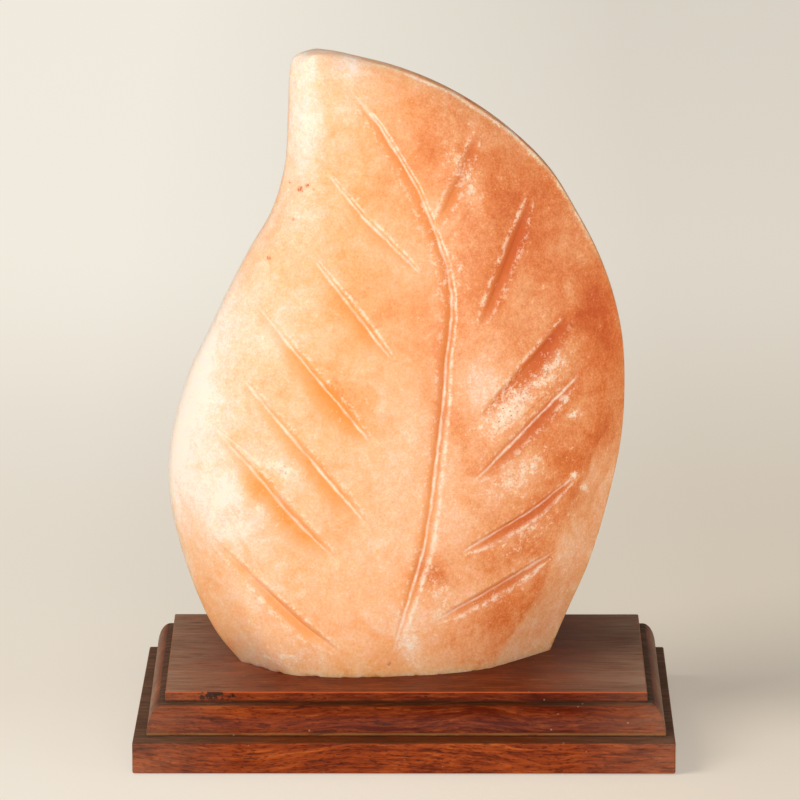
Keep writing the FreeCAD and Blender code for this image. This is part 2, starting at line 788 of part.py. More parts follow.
def wire(name, start, end):
    """Thin straight wire from one point to another, both in the bulb's own XZ plane."""
    origin = V(number(BULB[0]), number(BULB[1]), number(BULB[2]))
    first, last = origin + V(start[0], 0, start[1]), origin + V(end[0], 0, end[1])
    run = last - first
    thing = doc.addObject("Part::Cylinder", name)
    bind(thing, Radius="wire_radius")
    thing.Height = run.Length
    thing.Placement = FreeCAD.Placement(first, FreeCAD.Rotation(V(0, 0, 1), run))
    return thing


def make_bulb_inside():
    x, y, z = BULB
    outside, inside = glass_form("glass_outside", "0"), glass_form("glass_inside", "glass_wall")
    node(cut("bulb_glass", outside, inside), "bulb_glass")
    flare = "glass_neck - glass_wall"
    node(turned("bulb_stem", [
        ("0", "stem_bottom"),
        (flare, "stem_bottom"),
        (flare, "stem_bottom + glass_wall"),
        ("stem_radius * 1.2", "stem_bottom + 4 * glass_wall"),
        ("stem_radius", "stem_top"),
        ("0", "stem_top"),
    ], x, y, z), "bulb_stem")

    arc = doc.addObject("Part::Torus", "filament_arc")
    bind(arc, Radius1="filament_radius", Radius2="wire_radius")
    arc.Angle3 = 180
    place(arc, x, y, f"{z} + filament_height", FreeCAD.Rotation(V(1, 0, 0), 90))
    node(arc, "filament")

    radius, middle, stem = number("filament_radius"), number("filament_height"), number("stem_top")
    foot = number("stem_radius") * 0.6
    lean = math.radians(number("support_angle"))
    leads = []
    supports = []
    for side, sign in (("left", -1), ("right", 1)):
        leads.append(wire(f"lead_{side}", (sign * foot, stem), (sign * radius, middle)))
        hold = (sign * radius * math.cos(lean), middle + radius * math.sin(lean))
        supports.append(wire(f"support_{side}", (sign * foot / 3, stem), hold))
    node(group("lead_wires", leads), "lead_wires")
    node(group("filament_supports", supports), "filament_supports")


# ---------------------------------------------------------------- build, check and write

make_plinth_board()
make_upper_board()
make_base_fittings()
make_salt_leaf()
make_salt_fasteners()
make_holder_housing()
make_contacts()
make_clips()
make_bulb_cap()
make_bulb_inside()
doc.recompute()

for thing in doc.Objects:
    if "Invalid" in thing.State or "Error" in thing.State:
        raise RuntimeError(f"{thing.Label} failed: {thing.State}")
for piece in nodes:
    if piece.Shape.isNull() or not piece.Shape.isValid() or not piece.Shape.Solids:
        raise RuntimeError(f"{piece.Label} has no valid solid")

os.makedirs("parts", exist_ok=True)
for piece in nodes:
    piece.Shape.exportStep(f"parts/{piece.Label}.step")
    box_size = piece.Shape.optimalBoundingBox(False)
    print(f"{piece.Label:20s} solids {len(piece.Shape.Solids)}  volume {piece.Shape.Volume:11.1f}  "
          f"x {box_size.XMin:8.2f} {box_size.XMax:8.2f}  y {box_size.YMin:8.2f} {box_size.YMax:8.2f}  "
          f"z {box_size.ZMin:8.2f} {box_size.ZMax:8.2f}")
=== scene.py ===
"""Salt crystal lamp: the looks of a carved salt leaf on a moulded rosewood base.

Metres. +Z is up, the front of the lamp faces -Y, and the origin is the middle of its footprint.
"""

import json
import math

import bpy
import numpy as np
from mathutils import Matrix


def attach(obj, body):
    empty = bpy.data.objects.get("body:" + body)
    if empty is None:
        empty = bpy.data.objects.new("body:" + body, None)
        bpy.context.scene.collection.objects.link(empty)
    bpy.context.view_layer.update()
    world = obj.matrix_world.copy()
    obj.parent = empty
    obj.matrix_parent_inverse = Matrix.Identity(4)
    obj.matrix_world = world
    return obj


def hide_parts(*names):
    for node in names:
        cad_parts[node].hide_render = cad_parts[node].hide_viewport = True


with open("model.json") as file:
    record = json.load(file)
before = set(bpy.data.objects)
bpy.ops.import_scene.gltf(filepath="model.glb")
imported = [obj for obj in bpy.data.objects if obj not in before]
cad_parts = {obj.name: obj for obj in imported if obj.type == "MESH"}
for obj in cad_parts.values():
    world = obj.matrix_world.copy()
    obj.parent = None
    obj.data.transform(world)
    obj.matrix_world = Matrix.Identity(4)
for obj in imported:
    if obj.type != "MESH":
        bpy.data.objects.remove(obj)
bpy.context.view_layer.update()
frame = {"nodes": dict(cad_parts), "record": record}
MM = 0.001

# Heights of the base in millimetres, as the boards are cut.
PLINTH_TOP = 13.9
LEDGE = 26.7
BOARD_TOP = 31.3

# "Far from any cut", for the place across a cut and for the distance from its bottom in millimetres.
NO_CUT = 3.0
FAR_OFF = 9.0


# ---------------------------------------------------------------- numbers along a line

def smooth(at, knots, values):
    """Smooth line through values at knots: cubic pieces that meet with the mean slope on both sides."""
    knots, values = np.asarray(knots, float), np.asarray(values, float)
    slopes = np.gradient(values, knots, axis=0)
    piece = np.clip(np.searchsorted(knots, at, side="right") - 1, 0, len(knots) - 2)
    width = knots[piece + 1] - knots[piece]
    share = np.clip((at - knots[piece]) / width, 0, 1)
    if values.ndim > 1:
        width, share = width[..., None], share[..., None]
    rise = share * share * (3 - 2 * share)
    turn = share * (1 - share) ** 2 * slopes[piece] - share ** 2 * (1 - share) * slopes[piece + 1]
    return values[piece] * (1 - rise) + values[piece + 1] * rise + width * turn


def distance_along(points):
    """Distance along a line of points from its first one."""
    return np.concatenate([[0], np.cumsum(np.linalg.norm(np.diff(points, axis=0), axis=1))])


def step_up(value, low, high):
    """0 below low, 1 above high, and an even S-shaped rise between them."""
    share = np.clip((value - low) / (high - low), 0, 1)
    return share * share * (3 - 2 * share)


def lesser(*surfaces, ease):
    """The lowest of several surfaces, with their meeting lines eased over a few millimetres."""
    return -ease * np.log(sum(np.exp(-surface / ease) for surface in surfaces))


def waviness(across, up, size, seed):
    """Even random waves of about the given size, from -1 to 1: a lattice of random heights, smoothly joined."""
    heights = np.random.default_rng(seed).uniform(-1, 1, (64, 64))
    x, y = across / size + 32, up / size + 8
    column, row = np.floor(x).astype(int) % 63, np.floor(y).astype(int) % 63
    right, top = x - np.floor(x), y - np.floor(y)
    right, top = step_up(right, 0, 1), step_up(top, 0, 1)
    low = heights[row, column] * (1 - right) + heights[row, column + 1] * right
    high = heights[row + 1, column] * (1 - right) + heights[row + 1, column + 1] * right
    return low * (1 - top) + high * top


# ---------------------------------------------------------------- the salt leaf, in millimetres

# Where the leaf stands on the base: its upright axis, and its turn about that axis.
LEAF_PLACE = (-3.0, 1.0, BOARD_TOP)
LEAF_TURN = math.radians(5)

# Outline of the leaf from its foot to its tip, as (across, up).
LEFT_EDGE = (
    (-68, 0), (-77.6, 12.3), (-86.1, 30.2), (-92, 48), (-97.3, 74.5), (-97, 92), (-93.7, 109.4),
    (-88.1, 126.8), (-79.9, 144), (-71.8, 161.2), (-62.8, 178.4), (-53, 195.5), (-47.9, 212.6),
    (-46, 238.4), (-45.1, 255.5), (-44.2, 260), (-41, 262.5), (-37, 263.4),
)
RIGHT_EDGE = (
    (66, 0), (73.4, 17.9), (81, 35.5), (86.9, 53.1), (91.5, 70.6), (95.6, 92), (96.9, 114),
    (95.2, 140.8), (91.2, 158.3), (84.7, 175.8), (75.6, 193.3), (64.9, 210.8), (47.8, 228.3),
    (22.3, 245.9), (-2.7, 256.5), (-16.6, 260.2), (-28.4, 262.9), (-33, 263.4),
)
# Half thickness of the leaf at its crest, by height.
CREST_HEIGHTS = (0, 30, 80, 115, 145, 170, 195, 218, 236, 250, 258, 264)
CREST_DEPTHS = (36, 38.5, 40, 38, 34.5, 30.5, 26, 21.5, 17, 12.5, 9.5, 6.5)
# Width of the flat ground along the lower right edge of the face, by height.
CHAMFER_HEIGHTS = (0, 18, 36, 60, 86, 110, 125)
CHAMFER_WIDTHS = (28, 24, 20, 21, 14.5, 6.6, 0)
CREST = 0.46               # the crest's share of the width, from the left
BAND = 5.0                 # half width of the flat band along the right edge
CAVITY_RADIUS = 23.0
CAVITY_DEPTH = 88.0

LEAF_ROWS = 296
FRONT_COLUMNS = 208
BAND_COLUMNS = 6
BACK_COLUMNS = 110

# Carved lines, outer end first: points as (across, up), the width of the steep wall and of the
# scooped slope beside it, the depth, and then how strong the painted shade (a deeper colour) of the scoop and the
# frosted lines at its bottom, at the top of its wall and at the lip of its slope are.
# On the left half the slope lies below the line and to its left, on the right half to its right.
MIDRIB = dict(
    side=1, swell=(0.1, 0.8, 1, 1, 1, 1, 1, 1, 0.8, 0.1), depth=0.7, deep=0.8, bottom=1.0, top=1.3, lip=0.55,
    wall=(1.6, 1.6, 1.8, 3.0, 3.8, 3.8), slope=(4.6, 5.0, 4.2, 3.4, 3.4, 3.0),
    points=((-22.8, 251.4), (-16.1, 243.3), (-8.2, 233.4), (-0.2, 220.1), (6.1, 209.3), (11.1, 197.3),
            (15, 187), (18.3, 177), (20.3, 164.1), (20.2, 153.8), (17.9, 138.8), (16.4, 119),
            (14.3, 102.6), (11.4, 77.4), (8.0, 56.1), (1.9, 35), (-3.4, 16.1), (-5.5, 7)),
)
CUTS = [MIDRIB] + [
    dict(side=side, swell=(0.1, 0.4, 0.75, 1.0, 0.9, 0.1) if side > 0 else (0.1, 0.7, 1.0, 1.0, 0.85, 0.1),
         points=points, wall=(wall,), slope=(slope,), depth=depth, deep=deep, bottom=bottom, top=top, lip=lip)
    for side, points, wall, slope, depth, deep, bottom, top, lip in (
        (1, ((-31.0, 214.8), (-17.0, 197.5), (7.3, 173.2)), 2.0, 5.0, 0.9, 0.45, 1.0, 1.2, 0.0),
        (1, ((-37.0, 178.9), (-5.0, 137.3)), 2.6, 5.4, 1.1, 0.70, 1.0, 1.3, 0.0),
        (1, ((-60.8, 159.0), (-14.2, 102.8)), 3.0, 6.0, 1.3, 1.00, 1.0, 0.7, 0.0),
        (1, ((-67.9, 129.1), (-16.2, 67.8)), 3.2, 6.0, 1.3, 0.90, 1.0, 0.6, 0.0),
        (1, ((-80.0, 107.5), (-62.9, 89.4), (-47.5, 70.8), (-29.6, 52.7)), 3.4, 6.5, 1.4, 1.00, 0.9, 0.7, 0.0),
        (1, ((-79.2, 107.0), (-67.0, 98.5), (-59.6, 91.6)), 1.0, 1.4, 0.4, 0.10, 0.9, 0.0, 0.0),
        (1, ((-81.7, 60.5), (-42.9, 23.3), (-27.1, 11.1)), 2.6, 5.5, 1.3, 0.80, 0.2, 0.8, 1.1),
        (-1, ((34.0, 231.0), (14.1, 192.1)), 3.4, 4.0, 0.9, 0.80, 0.0, 0.7, 0.75),
        (-1, ((56.1, 203.0), (31.9, 149.3)), 3.4, 4.0, 1.0, 1.10, 0.0, 0.85, 0.8),
        (-1, ((72.0, 152.0), (31.5, 111.0)), 3.0, 7.0, 1.4, 1.25, 0.0, 0.8, 0.4),
        (-1, ((76.2, 126.1), (64.9, 116.6), (28.8, 84.2)), 2.4, 5.0, 1.3, 1.00, 1.0, 0.4, 0.7),
        (-1, ((73.7, 81.4), (54.6, 69.0), (24.0, 54.0)), 2.0, 4.6, 1.5, 1.00, 0.9, 0.4, 1.3),
        (-1, ((65.8, 49.5), (12.1, 24.1)), 2.2, 4.4, 1.3, 0.90, 0.8, 0.5, 1.2),
    )
]


def nearest_on_line(across, up, points):
    """For every place: its offset to the right of a line of points, the normal there and the share of its length."""
    points = np.asarray(points, float)
    reached = distance_along(points)
    best = np.full(across.shape, np.inf)
    offset, share = np.zeros(across.shape), np.zeros(across.shape)
    normal = np.zeros(across.shape + (2,))
    for start, end, before in zip(points[:-1], points[1:], reached):
        run = end - start
        length = np.linalg.norm(run)
        run = run / length
        along = np.clip((across - start[0]) * run[0] + (up - start[1]) * run[1], 0, length)
        gap = np.stack([across - start[0] - along * run[0], up - start[1] - along * run[1]], axis=-1)
        away = np.linalg.norm(gap, axis=-1)
        nearer = away < best
        best = np.where(nearer, away, best)
        right = gap[..., 0] * run[1] - gap[..., 1] * run[0]
        offset = np.where(nearer, np.where(right < 0, -away, away), offset)
        share = np.where(nearer, (before + along) / reached[-1], share)
        normal[nearer] = (run[1], -run[0])
    return offset, normal, share


def carve(across, up, spacing):
    """Carving at every place of the leaf's face.

    A cut is a V whose bottom follows its line: depth * (1 - |q|), where q runs from 0 at the bottom
    to -1 at the top of the wall and to 1 at the lip of the slope, and both ease out towards their
    rims, a slope without a frosted lip the most. Its swell along the line scales its depth and
    its widths. Places within half a grid cell of a line are moved on to it.
    Gives the moved places, the depth, q, the distance from the bottom and the four strengths.
    """
    depth, reach = np.zeros(across.shape), np.full(across.shape, NO_CUT)
    q, off = np.full(across.shape, NO_CUT), np.full(across.shape, FAR_OFF)
    strengths = np.zeros(across.shape + (4,))
    across, up = across.copy(), up.copy()
    for cut in CUTS:
        offset, normal, share = nearest_on_line(across, up, cut["points"])
        size = np.interp(share, np.linspace(0, 1, len(cut["swell"])), cut["swell"])
        near = (np.abs(offset) < 0.5 * spacing) & (size > 0.15)
        across = np.where(near, across - offset * normal[..., 0], across)
        up = np.where(near, up - offset * normal[..., 1], up)
        offset = np.where(near, 0.0, offset * cut["side"])
        wall = np.interp(share, np.linspace(0, 1, len(cut["wall"])), cut["wall"]) * (0.5 + 0.5 * size)
        slope = np.interp(share, np.linspace(0, 1, len(cut["slope"])), cut["slope"]) * (0.3 + 0.7 * size)
        here = np.clip(offset / np.where(offset > 0, slope, wall), -NO_CUT, NO_CUT)
        rise = np.clip(1 - np.abs(here), 0, 1)
        soft = np.where(here > 0, 1 - 0.6 * cut["lip"], 0.4)
        depth = np.maximum(depth, cut["depth"] * size * rise * (1 - soft + soft * rise))
        nearer = np.abs(here) < reach
        reach = np.where(nearer, np.abs(here), reach)
        q = np.where(nearer, here, q)
        off = np.where(nearer, offset, off)
        drawn = np.clip(3 - 1.2 * np.abs(here), 0, 1) * step_up(np.minimum(share, 1 - share), 0.0, 0.06)
        for index, name in enumerate(("deep", "bottom", "top", "lip")):
            strength = cut[name] * drawn * (size if name == "deep" else 1)
            strengths[..., index] = np.where(nearer, strength, strengths[..., index])
    return across, up, depth, q, off, strengths


def leaf_depth(u, width, up, crest_depth, chamfer):
    """Half thickness at share u of the width: the lowest of a crowned dome and the flats ground beside it.

    Left of the crest the dome is a superellipse, and on its right it falls as a power of the way to
    the flat band, so that they meet in a crisp rim. The left flank is a flat that rises 1.25 mm per
    mm from a rounded edge. The chamfer is a flat of the given width that falls 0.95 mm per mm from
    the dome to the right edge.
    """
    band = np.minimum(BAND, 0.7 * crest_depth)
    left = np.clip((CREST - u) / CREST, 0, 1)
    left_power = 2.1 + 0.4 * step_up(-up, -60, 0)
    left_dome = crest_depth * (1 - left ** left_power) ** (1 / left_power)

    def right_dome(u):
        right = np.clip((u - CREST) / (1 - CREST), 0, 1)
        return band + (crest_depth - band) * (1 - right ** 2.3)

    left_flat = 0.17 * crest_depth + 1.25 * u * width
    right_flat = right_dome(1 - chamfer / width) + 0.95 * ((1 - u) * width - chamfer)
    dome = lesser(np.where(u < CREST, left_dome, right_dome(u)), left_flat, ease=0.04 * crest_depth)
    return np.where(chamfer > 0, lesser(dome, right_flat, ease=0.4), dome)


def surface(points, falls_right):
    """Triangles between neighbouring rows of a grid whose columns close on themselves.

    Each square is split along the diagonal that runs with the carving: down to the right where
    falls_right says so, and down to the left elsewhere.
    """
    rows, columns = points.shape[:2]
    low = np.arange((rows - 1) * columns).reshape(rows - 1, columns)
    a, b = low, np.roll(low, -1, axis=1)
    c, d = b + columns, a + columns
    falling = np.broadcast_to(falls_right, a.shape)[..., None, None]
    one = np.stack([np.stack([a, b, d], -1), np.stack([b, c, d], -1)], axis=2)
    other = np.stack([np.stack([a, b, c], -1), np.stack([a, c, d], -1)], axis=2)
    return np.where(falling, one, other).reshape(-1, 3)


def make_mesh(name, points, triangles):
    """Mesh object from a list of points in metres and a list of triangles."""
    mesh = bpy.data.meshes.new(name)
    mesh.vertices.add(len(points))
    mesh.vertices.foreach_set("co", points.astype(np.float32).ravel())
    mesh.loops.add(triangles.size)
    mesh.loops.foreach_set("vertex_index", triangles.astype(np.int32).ravel())
    mesh.polygons.add(len(triangles))
    mesh.polygons.foreach_set("loop_start", np.arange(0, triangles.size, 3, dtype=np.int32))
    mesh.update(calc_edges=True)
    mesh.validate()
    mesh.polygons.foreach_set("use_smooth", np.ones(len(triangles), bool))
    thing = bpy.data.objects.new(name, mesh)
    bpy.context.scene.collection.objects.link(thing)
    return thing


def give_attribute(thing, name, kind, values):
    """Store one number, vector or colour per point."""
    layer = thing.data.attributes.new(name, kind, "POINT")
    layer.data.foreach_set("color" if kind == "FLOAT_COLOR" else "vector", values.astype(np.float32).ravel())


def make_salt_leaf():
    """The leaf: rows run level from its left edge to its right edge, columns go round it.

    A row's point is left edge + u * (right edge - left edge) across and up, and the half
    thickness leaf_depth(u) to the front or back. A flat band closes the right side, a
    flat foot and the bored cavity close the bottom, and the tip closes on a point.
    """
    share = np.linspace(0, 1, LEAF_ROWS)
    edges = []
    for points in (LEFT_EDGE, RIGHT_EDGE):
        reached = distance_along(np.array(points))
        edges.append(smooth(share, reached / reached[-1], points))
    left, right = edges
    width = np.linalg.norm(right - left, axis=1)[:, None]
    crest_height = (left + CREST * (right - left))[:, 1:]
    crest_depth = smooth(crest_height, CREST_HEIGHTS, CREST_DEPTHS)
    chamfer = np.interp(crest_height, CHAMFER_HEIGHTS, CHAMFER_WIDTHS)

    fine = np.linspace(0, 1, 2001)[None, :]
    middle = leaf_depth(fine, 180.0, 100.0, 38.0, 0.0)[0]
    arc = distance_along(np.stack([fine[0] * 180, middle], axis=1))

    def side(columns, sign):
        """One face of the leaf, from its left edge to its right edge, with its carving."""
        u = np.interp(np.linspace(0, 1, columns), arc / arc[-1], fine[0])[None, :]
        across = left[:, :1] + u * (right - left)[:, :1]
        up = left[:, 1:] + u * (right - left)[:, 1:]
        thick = leaf_depth(u, width, up, crest_depth, chamfer if sign < 0 else 0 * chamfer)
        if sign > 0:
            thick = thick + 0.25 * chamfer * step_up(u, 0.6, 1)
        spacing = 200 / columns
        across, up, depth, q, off, strengths = carve(across, up, spacing)
        away = np.minimum(step_up(u, 0, 0.06), step_up(1 - u, 0, 0.05))
        ground = 0.55 * waviness(across, up, 27, 3 + sign) + 0.22 * waviness(across, up, 9.5, 7 + sign)
        ground += 0.07 * waviness(across, up, 3.6, 11 + sign)
        back = sign * (thick - depth * away + ground * (0.25 + 0.75 * away))
        return across, up, back, q, off, strengths

    front, back = side(FRONT_COLUMNS, -1), side(BACK_COLUMNS, 1)
    slope = np.gradient(right, axis=0)
    outward = np.stack([slope[:, 1], -slope[:, 0]], axis=1)
    outward /= np.linalg.norm(outward, axis=1)[:, None]
    share_back = np.linspace(0, 1, BAND_COLUMNS + 2)[None, 1:-1]
    bulge = 0.5 * (1 - (2 * share_back - 1) ** 2)
    band = (
        right[:, :1] + outward[:, :1] * bulge,
        right[:, 1:] + outward[:, 1:] * bulge,
        front[2][:, -1:] * (1 - share_back) + back[2][:, -1:] * share_back,
        np.full((LEAF_ROWS, BAND_COLUMNS), NO_CUT),
        np.full((LEAF_ROWS, BAND_COLUMNS), FAR_OFF),
        np.zeros((LEAF_ROWS, BAND_COLUMNS, 4)),
    )
    across, up, deep, q, off, strengths = (
        np.concatenate([f, b, k[:, :0:-1]], axis=1) for f, b, k in zip(front, band, back)
    )
    columns = across.shape[1]

    # The foot is chipped by up to 1 mm where it meets the board.
    angle = np.arctan2(deep[0], across[0])
    chip = np.clip(waviness(angle * 20, 0 * angle, 1.1, 5), 0, 1)
    up[0] = 0.0
    across[0] -= chip * np.cos(angle)
    deep[0] -= chip * np.sin(angle)

    def ring(height):
        """A level circle of the cavity, one point per column."""
        return np.stack([CAVITY_RADIUS * np.cos(angle), CAVITY_RADIUS * np.sin(angle), 0 * angle + height], axis=1)

    grid = np.stack([across, deep, up], axis=-1)
    inner = np.stack([ring(CAVITY_DEPTH), ring(0.0)])
    grid = np.concatenate([inner, grid])
    ceiling = np.array([[0, 0, CAVITY_DEPTH]])
    tip = grid[-1].mean(axis=0)[None, :]
    points = np.concatenate([grid.reshape(-1, 3), ceiling, tip])

    falls = np.broadcast_to((across[:-1] < 15) == (np.arange(columns) < FRONT_COLUMNS), across[:-1].shape)
    falls = np.concatenate([falls[:2], falls])
    triangles = surface(grid, falls)
    first, last = np.arange(columns), np.arange(columns) + (len(grid) - 1) * columns
    top = len(points) - 1
    triangles = np.concatenate([
        triangles,
        np.stack([np.roll(first, -1), first, np.full(columns, top - 1)], axis=1),
        np.stack([last, np.roll(last, -1), np.full(columns, top)], axis=1),
    ])

    cos, sin = math.cos(LEAF_TURN), math.sin(LEAF_TURN)
    x = LEAF_PLACE[0] + points[:, 0] * cos - points[:, 1] * sin
    y = LEAF_PLACE[1] + points[:, 0] * sin + points[:, 1] * cos
    z = LEAF_PLACE[2] + points[:, 2]
    leaf = make_mesh("carved_salt_leaf", np.stack([x, y, z], axis=1) * MM, triangles)
    leaf.data.set_sharp_from_angle(angle=math.radians(38))

    def padded(values, fill):
        """Values of the outer rows, with a fill for the cavity, its ceiling and the tip."""
        flat = values.reshape(-1, *values.shape[2:])
        extra = np.full((2 * columns,) + flat.shape[1:], fill)
        ends = np.full((2,) + flat.shape[1:], fill)
        return np.concatenate([extra, flat, ends])

    cut = np.stack([padded(q, NO_CUT), padded(off, FAR_OFF), np.zeros(len(points))], axis=1)
    give_attribute(leaf, "cut", "FLOAT_VECTOR", cut)
    give_attribute(leaf, "cut_lines", "FLOAT_COLOR", padded(strengths, 0.0))
    bloom = leaf_bloom(points[:, 0], points[:, 2], (points[:, 1] < 0).astype(float))
    give_attribute(leaf, "bloom", "FLOAT_COLOR", bloom)
    return leaf


# How pale, from 0, deep, to 1, cream, and how red the salt is across the leaf: partly the salt's own colour and partly
# painted light, paler on the left flank that faces the key light and deeper and redder on the right side turned away
# from it.
TREND_ACROSS = (-100, -84, -60, -20, 10, 30, 60, 98)
PALE_AND_LIT_TREND = (0.95, 0.85, 0.60, 0.42, 0.42, 0.44, 0.40, 0.42)
RED_AND_SHADED_TREND = (0.0, 0.0, 0.0, 0.05, 0.25, 0.6, 0.9, 1.0)
# Clouds in the salt as seen from the front, and one oval of painted shade: across, up, half width, half height,
# lean in degrees, and how much paler, redder and frostier the salt is there.
CLOUDS = (
    (-40, 238, 9, 30, 0, 0.45, 0.0, 0.0),
    (-24, 262, 16, 7, -10, 0.3, 0.0, 0.1),
    (-22, 256, 6, 5, 0, 0.25, 0.0, 0.15),
    (-70, 190, 9, 22, -30, 0.25, 0.0, 0.1),
    (-90, 120, 10, 40, -15, 0.25, 0.0, 0.1),
    (-82, 20, 16, 30, 0, -0.45, 0.0, 0.0),
    (-88, 52, 10, 16, 0, -0.2, 0.0, 0.0),
    (-62, 82, 5, 14, -40, -0.45, 0.0, -0.3),
    (-68, 78, 15, 15, -35, 0.35, 0.0, 0.55),
    (-51, 91, 10, 4.5, -15, 0.25, 0.0, 0.65),
    (-76, 62, 10, 8, 0, 0.1, 0.0, 0.3),
    (-62, 30, 16, 12, -40, 0.10, 0.1, 0.0),
    (-50, 8, 14, 5, 0, 0.10, 0.1, 0.4),
    (-20, 160, 14, 14, 30, -0.18, 0.0, 0.0),
    (-25, 118, 16, 12, -45, -0.22, 0.0, 0.0),
    (-55, 150, 12, 10, 0, 0.15, 0.0, 0.1),
    (-38, 80, 18, 12, -45, -0.08, 0.0, 0.0),
    (-5, 200, 16, 16, 20, -0.08, 0.0, 0.0),
    (0, 180, 10, 10, 0, 0.12, 0.0, 0.0),
    (5, 225, 18, 12, -10, -0.06, 0.1, 0.0),
    (20, 246, 26, 6, -28, 0.06, 0.0, 0.1),
    (16, 226, 18, 12, 0, -0.14, 0.1, 0.0),
    (8, 150, 12, 22, 0, -0.15, 0.0, 0.0),
    (24, 215, 5, 14, 20, 0.20, 0.0, 0.35),
    (-4, 108, 14, 20, 0, 0.16, 0.0, 0.0),
    (-8, 60, 20, 26, 0, 0.20, 0.0, 0.0),
    (-25, 30, 18, 14, -45, 0.05, 0.0, 0.0),
    (12, 45, 7, 9, 30, -0.3, 0.7, 0.0),
    (14, 125, 8, 40, 0, 0.05, 0.2, 0.1),
    (36, 126, 16, 12, 0, 0.22, -0.1, 0.25),
    (44, 114, 15, 8, 42, 0.30, -0.2, 0.75),
    (64, 130, 11, 6, 40, 0.25, -0.1, 0.65),
    (48, 86, 16, 7, 30, 0.25, -0.1, 0.6),
    (54, 60, 15, 5, 30, 0.15, 0.0, 0.5),
    (24, 176, 5, 12, 10, 0.1, 0.0, 0.25),
    (34, 160, 10, 10, 30, -0.05, 0.0, 0.1),
    (30, 208, 4, 12, 20, 0.15, 0.0, 0.4),
    (10, 196, 4, 20, 25, 0.1, 0.0, 0.35),
    (18, 170, 4, 14, 0, 0.15, 0.0, 0.35),
    (14, 40, 4, 16, 12, 0.2, 0.0, 0.45),
    (2, 14, 5, 10, 15, 0.2, 0.0, 0.4),
    (44, 40, 16, 5, 30, 0.10, 0.0, 0.2),
    (69, 116, 3, 2.5, 0, 0.2, 0.0, 0.9),
    (73, 109, 3, 2.5, 0, 0.2, 0.0, 0.9),
    (74, 82, 3, 2, 0, 0.2, 0.0, 0.8),
    (79, 75, 2, 2, 0, 0.2, 0.0, 0.8),
    (48, 205, 24, 20, 0, -0.12, 0.15, 0.0),
    (34, 180, 12, 16, 0, -0.15, 0.2, 0.0),
    (22, 130, 10, 16, 0, -0.08, 0.0, 0.0),
    (18, 76, 9, 22, 8, 0.2, -0.1, 0.1),
    (22, 36, 14, 12, 0, 0.12, 0.0, 0.05),
    (60, 190, 14, 30, 35, -0.12, 0.1, 0.0),
    (85, 150, 9, 26, 10, -0.30, 0.3, -0.2),
    (89, 136, 4, 8, 20, -0.2, 0.3, 0.0),
    (72, 148, 16, 6, 35, -0.2, 0.1, 0.0),
    (48, 52, 14, 5, 30, -0.10, 0.2, 0.0),
    (68, 92, 12, 9, 0, -0.1, 0.1, 0.0),
    (6, 20, 9, 12, 10, 0.2, 0.2, 0.1),
    (44, 22, 14, 9, 10, -0.12, 0.3, 0.0),
    (-21, 236, 12, 14, 0, 0.15, 0.0, 0.0),
    (-42, 189, 14, 14, 0, 0.14, 0.0, 0.0),
    (-76, 137, 14, 14, 0, 0.10, 0.0, 0.0),
    (-50, 94, 10, 8, -30, 0.15, 0.0, 0.0),
    (-67, 85, 6, 6, 0, -0.22, 0.0, -0.35),
    (29, 128, 7, 12, 0, 0.16, 0.0, 0.0),
    (44, 222, 18, 12, -40, 0.10, 0.0, 0.0),
    (79, 178, 14, 16, 40, 0.14, 0.0, 0.0),
    (-12, 90, 20, 12, 0, 0.08, 0.0, 0.0),
    (87, 97, 8, 12, 0, -0.26, 0.1, 0.0),
    (79, 68, 8, 10, 0, -0.12, 0.0, 0.0),
    (62, 150, 8, 12, 0, 0.10, 0.0, 0.0),
    (58, 60, 10, 8, 0, 0.10, 0.0, 0.0),
    # painted shade: darker and redder where the upper right of the face falls off from the light
    (24, 240, 22, 14, -30, -0.02, 0.3, 0.0),
    (33, 162, 8, 8, 0, -0.10, 0.0, 0.0),
    (41, 33, 9, 8, 0, -0.10, 0.0, 0.0),
    (-42, 42, 14, 10, 0, -0.07, 0.0, 0.0),
)
# Rusty grains in the skin: across, up and half width.
RUST = (
    (-42, 207, 2.2), (-39, 209, 1.3), (-36.5, 207.5, 1.1), (-46, 209, 1.0), (-45, 194.5, 1.2),
    (-55.5, 178, 1.6), (-6.5, 6, 1.8), (66, 200, 1.0),
)


